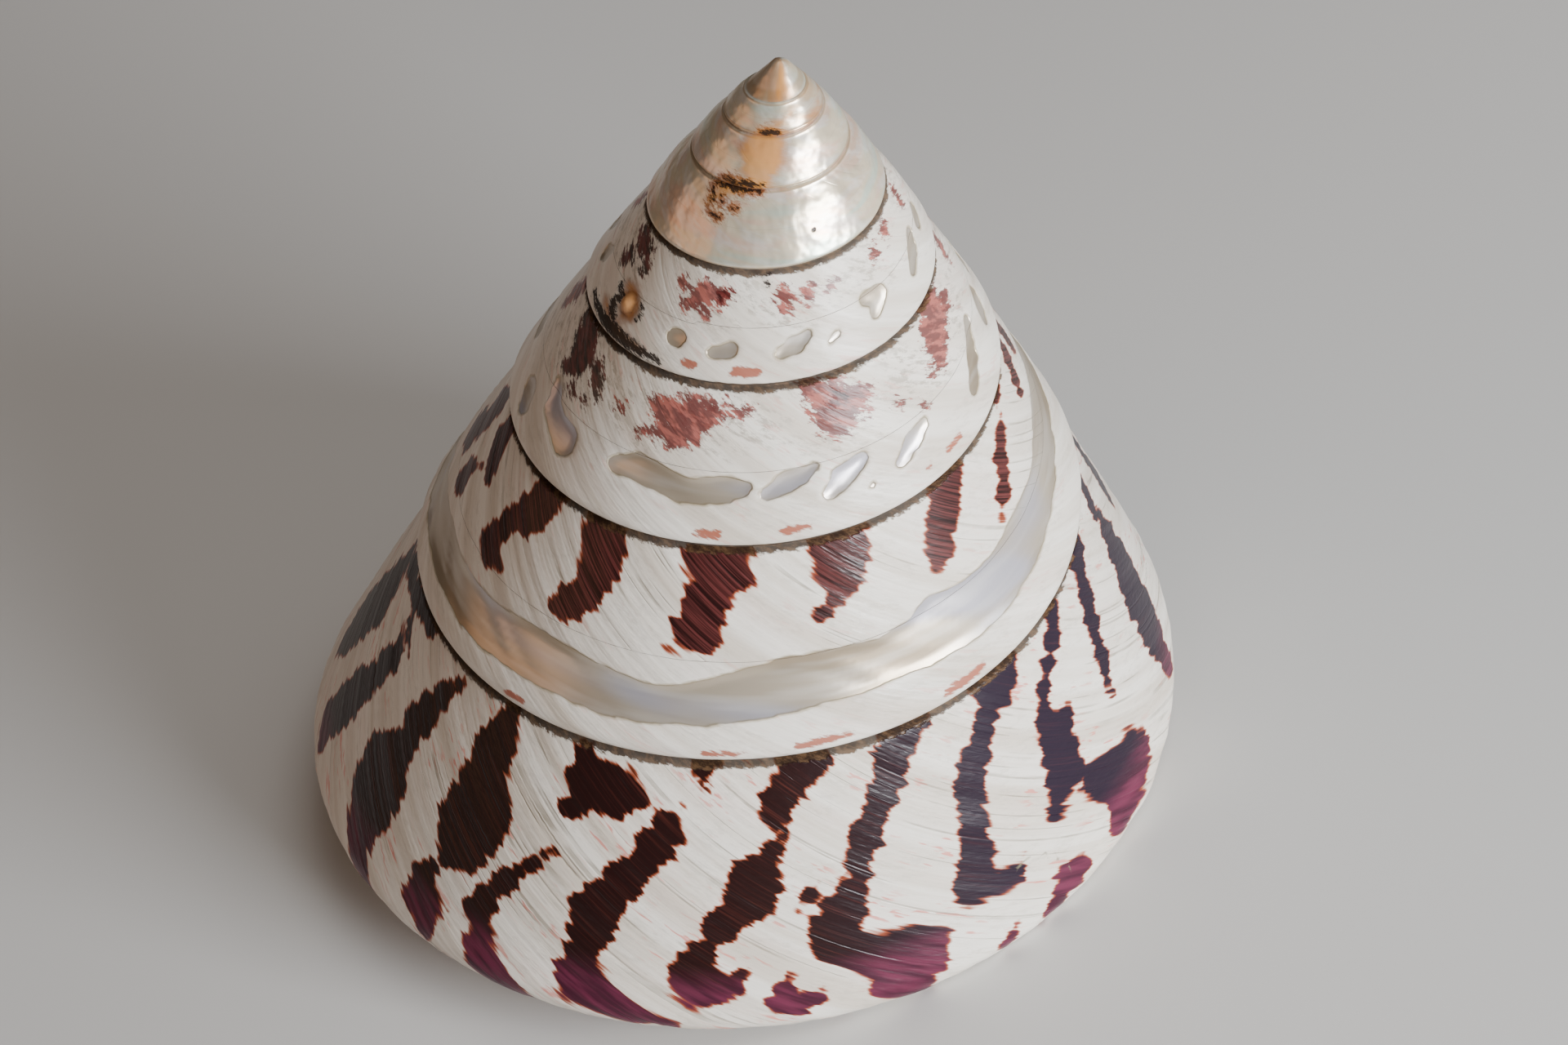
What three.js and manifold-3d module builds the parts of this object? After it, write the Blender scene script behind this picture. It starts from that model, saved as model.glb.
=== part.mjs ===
// A polished top shell: one solid, coiled to the right, standing on its base with the apex up.
// Units are millimetres and +Z is up. The shell is first drawn about its own coiling axis, with depth measured
// down from the point where the cone's sides would meet, and is then leaned over to stand as it rests.
//
// A growth angle counts turns along the spiral: 0 is where the last visible suture crosses the front (-Y),
// larger values are nearer the mouth. Seen from above the shell grows clockwise.
import * as THREE from "three";
import { mergeVertices } from "three/addons/utils/BufferGeometryUtils.js";
import Module from "manifold-3d";

// The cone and the spiral
const SUTURE_SLANT = 58; // distance down the cone's side to the suture at growth angle 0
const CONE_HALF_ANGLE = THREE.MathUtils.degToRad(29.154); // half the cone's angle there
const CONE_NARROWING = THREE.MathUtils.degToRad(1.564); // less half angle with each turn of growth
const GROWTH_RATE = 0.3683; // natural log of the growth in size per turn
const GROWTH_SLOWING = 0.0148; // fall of that rate
const EDGE_ROUNDING = 0.0273; // radius of the whorl's lower edge, as a share of the slant
const SUTURE_TUCK = THREE.MathUtils.degToRad(37.67); // how far round that edge the next whorl is attached
const FLANK_BULGE = 0.0054; // convexity of a whorl's side, as a share of its width
const TIP_DEPTH = 0.6; // depth of the worn tip

// Where the spiral starts and stops, in turns
const MOUTH = 0.57; // growth angle at which the last suture ends
const TURNS = 7.5;
const STEPS_PER_TURN = 48;

// The base
const AXIS_DEPTH = 74.5; // depth of the base at the axis
const PILLAR_RADIUS = 4.5; // foot of the central pillar
const PILLAR_FLARE = 8.5; // radius at which the pillar has run out into the base
const PILLAR_SHARE = 0.35; // share of the base's fall that the pillar's side takes
const BASE_BULGE = 1.2;
const AXIS_DIMPLE = 1.5;
const DIMPLE_RADIUS = 3;

// The mouth
const LIP_LAG = 60; // degrees by which the lip's lower edge trails its upper end
const LIP_FOOT_RADIUS = 7; // where the mouth's plane meets the pillar
const LIP_FOOT_DROP = 15.9; // how much deeper that point is than the end of the suture
const WEDGE_REACH = 120; // size of the cutter for that plane
const WEDGE_OVERLAP = 0.3; // how far the cutter passes the end of the whorl
const CAVITY_TURNS = 1.1; // how far back the open chamber runs
const CAVITY_STEPS_PER_TURN = 32;
const CAVITY_LEAD = 0.02; // how far it is carried forward, to cut clear of the mouth
const CAVITY_END = 0.1; // length of its rounded end, in turns
const CAVITY_INNER = 7; // its inner wall's distance from the axis at the mouth
const ROOF_CORNER = new THREE.Vector2(-1.7, 3.2); // from the suture to the chamber's upper outer corner
const ROOF_DROP = 9.6; // from the suture's depth to the upper inner corner's
const ROOF_ARCH = 1.6; // rise of the roof's middle above a straight line
const FLOOR_WALL = 2.6; // thickness of the base beside the pillar
const CORNER_SHARE = 0.3; // share of each of its walls that a rounded corner takes

// How it stands
const LEAN = THREE.MathUtils.degToRad(13.96);
const LEAN_HEADING = THREE.MathUtils.degToRad(-22.04); // direction of the lean, from +X towards +Y
const WORN_FLAT = 0.5; // height worn off the points it stands on

const FRONT = -Math.PI / 2;
const TURN = 2 * Math.PI;

const slantAt = (u) => SUTURE_SLANT * Math.exp(GROWTH_RATE * u - GROWTH_SLOWING * u * u);

// Radius and depth of the suture line at growth angle u.
function sutureAt(u) {
  const halfAngle = CONE_HALF_ANGLE - CONE_NARROWING * u;
  return new THREE.Vector2(Math.sin(halfAngle), Math.cos(halfAngle)).multiplyScalar(slantAt(u));
}

// The circle that rounds a whorl's lower edge; the suture of the next whorl lies on it.
function lowerEdgeAt(u) {
  const radius = EDGE_ROUNDING * slantAt(u);
  const tuck = new THREE.Vector2(Math.cos(SUTURE_TUCK), Math.sin(SUTURE_TUCK));
  return { radius, centre: sutureAt(u).addScaledVector(tuck, -radius) };
}

// Lowest point of that circle, where the base begins.
function baseEdgeAt(u) {
  const { radius, centre } = lowerEdgeAt(u);
  return new THREE.Vector2(centre.x, centre.y + radius);
}

// Side of the whorl whose upper suture is at t: a nearly straight flank that runs into the rounded lower edge.
function flankProfile(t) {
  const top = sutureAt(t);
  const { radius, centre } = lowerEdgeAt(t + 1);
  const across = centre.clone().sub(top);
  const slope = Math.atan2(across.x, across.y) + Math.asin(radius / across.length());
  const outward = new THREE.Vector2(Math.cos(slope), -Math.sin(slope));
  const foot = centre.clone().addScaledVector(outward, radius);
  const width = foot.distanceTo(top);
  const points = [0, 0.1, 0.4, 0.75].map((v) =>
    top.clone().lerp(foot, v).addScaledVector(outward, FLANK_BULGE * width * 16 * v * v * (1 - v) ** 2),
  );
  return { points, slope, radius, centre };
}

function arc({ centre, radius }, from, to, steps, skipFirst) {
  const points = [];
  for (let i = skipFirst ? 1 : 0; i <= steps; i++) {
    const g = THREE.MathUtils.lerp(from, to, i / steps);
    points.push(new THREE.Vector2(centre.x + radius * Math.cos(g), centre.y + radius * Math.sin(g)));
  }
  return points;
}

// A whorl that the next one covers: from its own suture to the next suture.
function coveredProfile(t) {
  const flank = flankProfile(t);
  return [...flank.points, ...arc(flank, -flank.slope, SUTURE_TUCK, 2, false).slice(0, -1), sutureAt(t + 1)];
}

// Depth of the base at a radius, below a lower edge whose lowest point is edge.
function baseDepth(radius, edge) {
  const pillar = THREE.MathUtils.smoothstep(radius, PILLAR_RADIUS, PILLAR_FLARE);
  const outer = Math.max(0, (radius - PILLAR_FLARE) / (edge.x - PILLAR_FLARE));
  const fall = PILLAR_SHARE * pillar + (1 - PILLAR_SHARE) * Math.sin((Math.PI / 2) * outer);
  const bulge = BASE_BULGE * Math.sin(Math.PI * outer) ** 2;
  const dimple = AXIS_DIMPLE * Math.exp(-((radius / DIMPLE_RADIUS) ** 2));
  return AXIS_DEPTH + (edge.y - AXIS_DEPTH) * fall + bulge - dimple;
}

// The last whorl: suture, side, lower edge and base, as far in as the axis.
function fullProfile(t) {
  const flank = flankProfile(t);
  const edge = baseEdgeAt(t + 1);
  const radii = [0.86, 0.7, 0.54, 0.4, 0.3].map((share) => share * edge.x);
  radii.push(9, 7.5, 6, 4, 2, 0);
  return [
    ...coveredProfile(t),
    ...arc(flank, SUTURE_TUCK, Math.PI / 2, 3, true),
    ...radii.map((radius) => new THREE.Vector2(radius, baseDepth(radius, edge))),
  ];
}

// A point at growth angle t from its radius and depth.
function place(t, { x: radius, y: depth }) {
  const bearing = FRONT - t * TURN;
  return new THREE.Vector3(radius * Math.cos(bearing), radius * Math.sin(bearing), -depth);
}

// A closed mesh from triangles; corners that coincide are merged and flat slivers dropped.
class Facets {
  constructor() {
    this.corners = [];
  }
  triangle(a, b, c) {
    this.corners.push(...a.toArray(), ...b.toArray(), ...c.toArray());
  }
  // Joins two rows of points that run the same way, seen from outside with the next row on the right.
  strip(row, next) {
    for (let j = 0; j + 1 < row.length; j++) {
      this.triangle(row[j], row[j + 1], next[j + 1]);
      this.triangle(row[j], next[j + 1], next[j]);
    }
  }
  geometry() {
    const soup = new THREE.BufferGeometry();
    soup.setAttribute("position", new THREE.Float32BufferAttribute(this.corners, 3));
    const merged = mergeVertices(soup, 1e-3);
    const index = merged.index.array;
    const kept = [];
    for (let i = 0; i < index.length; i += 3) {
      const [a, b, c] = index.slice(i, i + 3);
      if (a !== b && b !== c && c !== a) kept.push(a, b, c);
    }
    merged.setIndex(kept);
    return merged;
  }
}

// The whole shell with its mouth still filled in.
function filledShell() {
  const facets = new Facets();
  const tip = new THREE.Vector3(0, 0, -TIP_DEPTH);
  const last = Math.round(TURNS * STEPS_PER_TURN);
  const angleAt = (i) => MOUTH - (last - i) / STEPS_PER_TURN;
  const rowOf = (i, profile) => profile(angleAt(i)).map((point) => place(angleAt(i), point));
  const firstSuture = (i) => place(angleAt(i), sutureAt(angleAt(i)));

  // A fan from the tip to the first turn of the suture.
  for (let i = 0; i < STEPS_PER_TURN; i++) facets.triangle(tip, firstSuture(i), firstSuture(i + 1));
  const start = rowOf(0, coveredProfile);
  for (let j = 0; j + 1 < start.length; j++) facets.triangle(tip, start[j + 1], start[j]);

  const lastTurn = last - STEPS_PER_TURN;
  for (let i = 0; i < last; i++) {
    const profile = i < lastTurn ? coveredProfile : fullProfile;
    facets.strip(rowOf(i, profile), rowOf(i + 1, profile));
  }

  // The end of the last whorl, between its own outline and the base that it was laid against. Inside the
  // pillar the two are the same, so the outline turns back there.
  const covered = coveredProfile(angleAt(lastTurn)).length;
  const own = fullProfile(MOUTH).filter(({ x }) => x > 3);
  const behind = fullProfile(angleAt(lastTurn)).slice(covered).filter(({ x }) => x > PILLAR_RADIUS).reverse();
  const outline = [...own, ...behind];
  const flat = outline.map((point) => place(MOUTH, point));
  for (const [a, b, c] of THREE.ShapeUtils.triangulateShape(outline, [])) facets.triangle(flat[a], flat[b], flat[c]);
  return facets.geometry();
}

// Corners of the open chamber's section at growth angle t, in radius and depth.
function cavityCorners(t) {
  const share = slantAt(t) / slantAt(MOUTH);
  const suture = sutureAt(t);
  const inner = CAVITY_INNER * share;
  const floor = baseDepth(PILLAR_FLARE, baseEdgeAt(t + 1)) - FLOOR_WALL * share;
  const outerRoof = suture.clone().addScaledVector(ROOF_CORNER, share);
  const innerRoof = new THREE.Vector2(inner, suture.y + ROOF_DROP * share);
  const arch = new THREE.Vector2(0, -ROOF_ARCH * share);
  return [
    outerRoof,
    lowerEdgeAt(t + 1).centre,
    new THREE.Vector2(inner, floor),
    innerRoof,
    innerRoof.clone().lerp(outerRoof, 0.5).add(arch),
  ];
}

// The section with its corners rounded, drawn in towards its middle by 1 - size.
function cavitySection(t, size) {
  const corners = cavityCorners(t);
  const middle = corners.reduce((sum, corner) => sum.add(corner), new THREE.Vector2());
  middle.divideScalar(corners.length);
  const points = [];
  corners.forEach((corner, i) => {
    const before = corners.at(i - 1);
    const after = corners[(i + 1) % corners.length];
    const round = new THREE.QuadraticBezierCurve(
      corner.clone().lerp(before, CORNER_SHARE),
      corner,
      corner.clone().lerp(after, CORNER_SHARE),
    );
    points.push(...round.getPoints(4));
  });
  return points.map((point) => place(t, point.lerp(middle, 1 - size)));
}

// The chamber that the animal lived in: a tube that follows the last whorl back from the mouth.
function cavity() {
  const facets = new Facets();
  const steps = Math.round((CAVITY_TURNS + CAVITY_LEAD) * CAVITY_STEPS_PER_TURN);
  const closed = (row) => [...row, row[0]];
  const sectionAt = (i) => {
    const toEnd = Math.min(1, (steps - i) / (CAVITY_END * CAVITY_STEPS_PER_TURN));
    return cavitySection(MOUTH + CAVITY_LEAD - i / CAVITY_STEPS_PER_TURN, Math.sqrt(1 - (1 - toEnd) ** 2));
  };
  for (let i = 0; i < steps; i++) facets.strip(closed(sectionAt(i + 1)), closed(sectionAt(i)));
  const mouth = cavitySection(MOUTH + CAVITY_LEAD, 1);
  for (let i = 1; i + 1 < mouth.length; i++) facets.triangle(mouth[0], mouth[i], mouth[i + 1]);
  return facets.geometry();
}

// What is taken off to give the mouth its slanting plane: a wedge behind the end of the last suture.
function mouthWedge() {
  const end = place(MOUTH, sutureAt(MOUTH));
  const lag = LIP_LAG / 360;
  const lip = place(MOUTH - lag, sutureAt(MOUTH - lag + 1));
  const inner = place(MOUTH, new THREE.Vector2(LIP_FOOT_RADIUS, -end.z + LIP_FOOT_DROP));
  const normal = new THREE.Vector3().crossVectors(lip.clone().sub(end), inner.clone().sub(end)).normalize();
  if (normal.z > 0) normal.negate();
  const along = new THREE.Vector3(end.x, end.y, 0).normalize(); // out towards the end of the suture
  const behind = place(MOUTH - 0.25, new THREE.Vector2(1, 0)); // square to it, against the growth
  const planeHeight = (x, y) => end.z - (normal.x * (x - end.x) + normal.y * (y - end.y)) / normal.z;
  const footprint = [
    [-WEDGE_REACH, -WEDGE_OVERLAP],
    [WEDGE_REACH, -WEDGE_OVERLAP],
    [WEDGE_REACH, WEDGE_REACH],
    [-WEDGE_REACH, WEDGE_REACH],
  ].map(([a, b]) => [a * along.x + b * behind.x, a * along.y + b * behind.y]);
  const top = footprint.map(([x, y]) => new THREE.Vector3(x, y, planeHeight(x, y)));
  const bottom = footprint.map(([x, y]) => new THREE.Vector3(x, y, -3 * WEDGE_REACH));
  const facets = new Facets();
  facets.strip([...top, top[0]], [...bottom, bottom[0]]);
  facets.triangle(top[0], top[2], top[1]);
  facets.triangle(top[0], top[3], top[2]);
  facets.triangle(bottom[0], bottom[1], bottom[2]);
  facets.triangle(bottom[0], bottom[2], bottom[3]);
  return facets.geometry();
}

const wasm = await Module();
wasm.setup();

function solidOf(geometry) {
  const solid = new wasm.Manifold(
    new wasm.Mesh({
      numProp: 3,
      vertProperties: new Float32Array(geometry.attributes.position.array),
      triVerts: new Uint32Array(geometry.index.array),
    }),
  );
  if (solid.volume() > 0) return solid;
  const turned = geometry.clone();
  turned.setIndex(Array.from(geometry.index.array).reverse());
  return solidOf(turned);
}

function geometryOf(solid) {
  const mesh = solid.getMesh();
  const geometry = new THREE.BufferGeometry();
  geometry.setAttribute("position", new THREE.BufferAttribute(new Float32Array(mesh.vertProperties), 3));
  geometry.setIndex(Array.from(mesh.triVerts));
  return geometry;
}

// Leans a geometry over about the horizontal line square to the heading.
function leaned(geometry) {
  const hinge = new THREE.Vector3(-Math.sin(LEAN_HEADING), Math.cos(LEAN_HEADING), 0);
  return geometry.applyMatrix4(new THREE.Matrix4().makeRotationAxis(hinge, LEAN));
}

// Moves a geometry so that its box stands on the ground, centred on the origin.
function grounded(geometry) {
  geometry.computeBoundingBox();
  const { min, max } = geometry.boundingBox;
  return geometry.translate(-(min.x + max.x) / 2, -(min.y + max.y) / 2, -min.z);
}

// Wears the lowest points down to small flats.
function worn(geometry) {
  const ground = new THREE.BoxGeometry(400, 400, 20).translate(0, 0, WORN_FLAT - 10);
  ground.deleteAttribute("normal");
  ground.deleteAttribute("uv");
  return geometryOf(solidOf(geometry).subtract(solidOf(mergeVertices(ground))));
}

const hollowed = solidOf(filledShell()).subtract(solidOf(cavity())).subtract(solidOf(mouthWedge()));
const standing = grounded(worn(grounded(leaned(geometryOf(hollowed)))));
standing.computeVertexNormals();

const shell = new THREE.Mesh(
  standing,
  new THREE.MeshStandardMaterial({ color: 0xe6dccb, roughness: 0.3, metalness: 0 }),
);
shell.name = "shell";

const group = new THREE.Group();
group.add(shell);
export default group;
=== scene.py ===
"""A polished top shell with dark flames and windows of mother-of-pearl, standing on a pale floor."""

import math

import bpy
import numpy as np
from bpy.props import FloatProperty, FloatVectorProperty, IntProperty, PointerProperty
from mathutils import Matrix, Vector


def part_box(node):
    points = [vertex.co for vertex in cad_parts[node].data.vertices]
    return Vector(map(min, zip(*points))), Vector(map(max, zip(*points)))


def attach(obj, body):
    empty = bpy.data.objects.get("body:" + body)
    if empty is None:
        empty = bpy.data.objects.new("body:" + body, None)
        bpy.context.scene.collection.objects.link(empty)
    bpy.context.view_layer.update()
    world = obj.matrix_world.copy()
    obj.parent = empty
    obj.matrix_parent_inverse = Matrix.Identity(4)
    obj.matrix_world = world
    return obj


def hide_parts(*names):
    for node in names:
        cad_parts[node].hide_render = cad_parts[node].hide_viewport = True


bl_info = {
    "name": "Top Shell",
    "version": (1, 0, 0),
    "blender": (4, 5, 0),
    "location": "3D View > Sidebar > Top Shell",
    "description": "Builds a polished, coiled top shell and the stage that it stands on",
    "category": "Object",
}

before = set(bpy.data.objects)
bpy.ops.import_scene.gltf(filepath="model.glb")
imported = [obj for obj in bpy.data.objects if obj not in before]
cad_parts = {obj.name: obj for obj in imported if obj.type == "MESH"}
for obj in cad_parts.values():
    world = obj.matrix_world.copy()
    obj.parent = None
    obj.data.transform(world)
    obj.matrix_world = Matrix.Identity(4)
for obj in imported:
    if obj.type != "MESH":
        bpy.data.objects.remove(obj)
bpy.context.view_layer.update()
MM = 0.001
FAR = 9.0  # mm; a mark further off than this has no effect
NEAR_SHARE = .6  # of FAR; how far from a segment along the whorl distances are still worked out

# The cone and the spiral, in mm and turns. Turn 0 is where the last visible suture crosses the front.
SUTURE_SLANT = 58
CONE_HALF_ANGLE = math.radians(29.154)
CONE_NARROWING = math.radians(1.564)
GROWTH_RATE = 0.3683
GROWTH_SLOWING = 0.0148
EDGE_ROUNDING = 0.0273
SUTURE_TUCK = math.radians(37.67)
FLANK_BULGE = 0.0054
GROWTH_LAG = .13
GROWTH_LAG_CURVE = .02
TIP_DEPTH = 0.6  # below the cone's point
TIP_RADIUS = 1.0
MOUTH = 0.57  # turn at which the last whorl ends
TURNS = 7  # so that the spiral starts at the back of the tip

# The base and the mouth, in mm
AXIS_DEPTH = 74.5
PILLAR_RADIUS = 4.5
PILLAR_FLARE = 8.5
PILLAR_SHARE = 0.35
BASE_BULGE = 1.2
AXIS_DIMPLE = 1.5
DIMPLE_RADIUS = 3
LIP_LAG = 60 / 360
LIP_FOOT_RADIUS = 7
LIP_FOOT_DROP = 15.9
WEDGE_REACH = 120
WEDGE_OVERLAP = 0.3
CAVITY_TURNS = 1.1
CAVITY_STEPS_PER_TURN = 96
CAVITY_LEAD = 0.02
CAVITY_END = 0.1
CAVITY_INNER = 7
ROOF_CORNER = (-1.7, 3.2)
ROOF_DROP = 9.6
ROOF_ARCH = 1.6
FLOOR_WALL = 2.6
CORNER_SHARE = 0.3
CORNER_POINTS = 7
CAVITY_PLACE = 5  # places from here on lie on the chamber's wall
UNMARKED_PLACE = 2.5  # a place on the base, given to walls that carry no marks

# Low relief, in mm where nothing else is said
EARLY_WHORLS = (-2.9, -3.6)  # turns over which the relief of the early whorls comes in
FULL_RELIEF = -6.15  # turn from which there is full relief; it starts from nothing with the spiral
FULL_SWELL = -5.8
FULL_WIDTH = 12  # a whorl whose side is narrower than this has smaller relief
SMALLEST_SCALE = .25
GROOVE_HALF_WIDTH = .34
CORD_OFFSET = .24
CORD_HALF_WIDTH = .10
CORD_HEIGHT = .10
EARLY_SWELL = .034  # share of the side's width
WRINKLES = [(2.3, .4), (3.1, 2.0), (4.7, 4.1), (7.3, 1.1)]  # length and phase
SCAR_STEP = .16
KNOB_RADIUS = 1.05
KNOB_HEIGHT = .42
KNOB_MOAT = .32
KNOB_SPREAD = (.55, .28)  # of the dome and of the moat round it, in radii

# How it stands
LEAN = math.radians(13.96)
LEAN_HEADING = math.radians(-22.04)

# The camera, about the shell's own axis, in mm
CAMERA_ELEVATION = math.radians(45.1399)
CAMERA_ROLL = math.radians(-1.2095)
CAMERA_DISTANCE = 340.5357
CAMERA_AIM = (1.0627, 0, -51.5696)
CAMERA_LENS = 90
CAMERA_SENSOR = 36
CAMERA_CLIP = (.01, 20)  # m

# The stage, in metres. A light has a name, its bearing from the front towards the right and its height in
# degrees, its distance from the shell, its two sides and its colour.
FLOOR_HALF = 3.0
FLOOR_LEVEL = -.0001
LIT_HEIGHT = .035
SKY_COLOUR = (1.0, .93, .86)
LIGHTS = [
    ("window", 50, 10, .62, (.34, .19), (.93, .96, 1.0)),
    ("overhead", 75, 62, 1.1, (.8, .8), (1.0, .985, .96)),
    ("fill", -80, 20, 1.0, (.8, .5), (1.0, .56, .32)),
]

# Where one part of the shell's finish gives way to the next, as a run of turns
LAST_WHORL = (-.5, -.4)
SECOND_WHORL = (-1.6, -1.4)
UNWORN = (-3.50, -3.36)

# Noises that more than one finish shares: cells per mm across and along the growth lines, a shift of place,
# detail and roughness
TEETH = (.85, .12, 41)
FINE_BANDS = (1.7, .05, 7, 3, .6)
GRIME = (.8, .9, 91, 4, .7)

# Flames are paths down a whorl: turn, reach below the suture in widths of the side, half width in mm
BODY_FLAMES = [
    [(.262, .10, .8), (.256, .25, 2.2), (.258, .37, 3.4), (.268, .61, 3.4), (.271, .78, 2.1)],
    [(.250, .09, 1.0), (.225, .08, 1.0), (.210, .03, 1.2), (.197, .02, 1.2)],
    [(.219, .17, .8), (.213, .20, .8), (.204, .22, .5)],
    [(.213, .26, 1.0), (.216, .34, 1.7), (.219, .45, 1.8), (.225, .60, 2.4), (.231, .76, 2.6),
     (.234, .89, 2.4), (.231, .95, 1.2)],
    [(.160, .06, .7), (.164, .11, .7), (.170, .19, 1.2), (.173, .28, 1.6), (.176, .36, 1.6),
     (.173, .42, 1.1), (.180, .55, 2.6), (.182, .66, 4.0), (.180, .75, 3.8), (.179, .82, 3.0),
     (.176, .94, 2.0), (.170, 1.02, 1.5), (.161, 1.12, 1.0)],
    [(.127, .03, .9), (.127, .08, 1.4), (.127, .16, 2.1), (.130, .26, 2.3), (.127, .34, 2.6),
     (.124, .42, 3.2), (.127, .51, 3.7), (.127, .59, 3.2), (.128, .65, 2.0), (.131, .70, .7),
     (.136, .77, .8), (.139, .86, 1.6), (.136, .91, 2.0), (.130, .96, 1.6), (.130, 1.06, .8)],
    [(.083, .02, .8), (.081, .08, 1.2), (.078, .14, 2.4), (.069, .16, 2.6), (.059, .17, 1.5)],
    [(.079, .20, 1.8), (.083, .26, 1.1), (.088, .31, .4)],
    [(.084, .45, .3), (.090, .49, .7), (.096, .56, .7), (.100, .62, .8), (.105, .68, 1.1),
     (.109, .76, 1.2), (.111, .82, 1.4), (.107, .87, .9), (.101, .88, .2)],
    [(.109, .90, .8), (.107, .94, 1.5), (.102, .99, 1.9), (.096, 1.05, 1.6), (.087, 1.12, 1.2),
     (.078, 1.18, .6)],
    [(.038, .21, .4), (.041, .25, 1.2), (.043, .32, 1.9), (.048, .40, 1.4), (.053, .47, 1.6),
     (.059, .56, 2.1), (.065, .65, 2.0), (.065, .73, 2.0), (.065, .81, 1.4), (.068, .87, 1.6),
     (.064, .94, 2.4), (.057, .99, 2.0), (.048, 1.03, 1.4), (.037, 1.05, .8), (.030, 1.06, .4)],
    [(.022, .00, .7), (.028, .01, .8), (.031, .05, .8), (.026, .10, .5)],
    [(-.023, .02, 1.6), (-.015, .05, 2.2), (-.011, .10, 1.5), (-.006, .15, 1.5), (-.005, .20, 1.3),
     (-.006, .24, .8), (-.008, .28, .4), (-.008, .31, .4), (-.005, .35, .9), (.001, .39, 1.1),
     (.003, .44, 1.9), (.004, .50, 2.5), (.007, .56, 1.9), (.013, .61, 1.5), (.016, .66, 1.2),
     (.019, .72, 1.2), (.023, .78, 1.6), (.025, .84, 2.1), (.020, .89, 2.0), (.011, .89, 1.1),
     (.006, .83, .5)],
    [(-.010, .88, .5), (-.008, .93, .9), (-.008, .98, 1.1), (-.014, 1.00, .6), (-.021, .96, .5)],
    [(-.068, .01, 2.0), (-.063, .05, 1.7), (-.060, .10, 1.5), (-.057, .16, 1.5), (-.053, .23, 1.5),
     (-.048, .29, 1.3), (-.045, .34, 1.2), (-.041, .40, 1.5), (-.039, .45, 1.3), (-.039, .50, .8),
     (-.038, .54, .6), (-.034, .60, 1.5), (-.029, .67, 2.2), (-.027, .74, 2.2), (-.033, .80, 1.6),
     (-.044, .87, 2.1), (-.054, .92, 2.5), (-.062, .93, 2.0)],
    [(-.045, .98, 1.3), (-.053, 1.02, 1.8), (-.058, 1.06, 1.2)],
    [(-.020, .53, .3), (-.017, .56, .4), (-.015, .59, .3)],
    [(-.125, .01, 1.7), (-.119, .05, 2.4), (-.111, .11, 1.5), (-.106, .18, 1.0), (-.103, .23, 1.1),
     (-.095, .29, 1.4), (-.091, .37, 1.6), (-.089, .46, 1.3), (-.088, .55, 1.3), (-.087, .62, 1.5),
     (-.085, .68, 2.0), (-.083, .73, 1.8), (-.094, .78, .9), (-.103, .80, .9), (-.107, .77, .2)],
    [(-.130, .98, 1.3), (-.121, .99, 1.5), (-.113, 1.06, .9)],
    [(-.098, .99, .4), (-.092, 1.05, .7)],
    [(-.171, .03, 1.1), (-.165, .09, 1.0), (-.152, .18, .9), (-.143, .25, .7), (-.140, .31, .7),
     (-.136, .37, .9), (-.140, .44, 1.9), (-.140, .54, 2.3), (-.138, .61, 2.2), (-.132, .64, 1.6),
     (-.128, .68, .8)],
    [(-.152, .39, .4), (-.149, .44, 1.0)],
    [(-.143, .70, .7), (-.155, .76, 1.6), (-.165, .83, 2.5), (-.174, .87, 2.9), (-.186, .89, 1.3)],
    [(-.163, .91, 2.6), (-.158, .97, 1.5)],
    [(-.214, .03, .9), (-.206, .08, 1.1), (-.201, .14, 1.0), (-.194, .25, 1.0), (-.189, .35, 1.1),
     (-.188, .44, .9), (-.183, .51, .7), (-.183, .57, .3)],
    [(-.262, .03, .8), (-.257, .10, 1.1), (-.247, .20, .8)],
    [(-.252, .26, 1.2), (-.246, .40, 2.6), (-.240, .58, 3.2), (-.237, .76, 3.0), (-.233, .92, 1.6)],
]
SECOND_FLAMES = [
    [(-.772, .03, 1.0), (-.769, .12, 1.6), (-.775, .23, 1.4), (-.781, .31, .7)],
    [(-.769, .32, .5), (-.759, .42, 1.0), (-.757, .52, 1.5), (-.760, .56, .9)],
    [(-.838, .01, 1.3), (-.840, .06, 1.9), (-.836, .16, 2.0), (-.828, .26, 1.4), (-.821, .35, 1.0),
     (-.815, .46, 1.7), (-.819, .52, 1.2), (-.833, .53, .5)],
    [(-.889, .02, 2.2), (-.892, .10, 2.2), (-.895, .20, 2.2), (-.895, .30, 1.8), (-.892, .39, 1.5),
     (-.886, .46, 1.5), (-.877, .51, .5)],
    [(-.964, .03, 2.5), (-.971, .11, 2.5), (-.966, .20, 1.8), (-.967, .26, 2.0), (-.960, .34, 1.6),
     (-.960, .42, 2.1), (-.953, .46, 1.0)],
    [(-1.045, .05, 2.6), (-1.045, .14, 2.4), (-1.042, .23, 1.6), (-1.038, .31, 1.0), (-1.031, .37, .6),
     (-1.026, .41, .3)],
    [(-1.136, .02, 1.3), (-1.126, .08, 1.8), (-1.116, .18, 1.6), (-1.110, .28, 1.6), (-1.103, .36, 1.1)],
    [(-1.205, .10, .4), (-1.190, .15, .9), (-1.181, .21, .9), (-1.176, .30, 1.0), (-1.168, .36, .7),
     (-1.160, .40, .3)],
    [(-1.210, .02, .8), (-1.204, .05, .7)],
    [(-1.266, .03, .8), (-1.257, .14, 1.0), (-1.240, .25, .6)],
]
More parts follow.
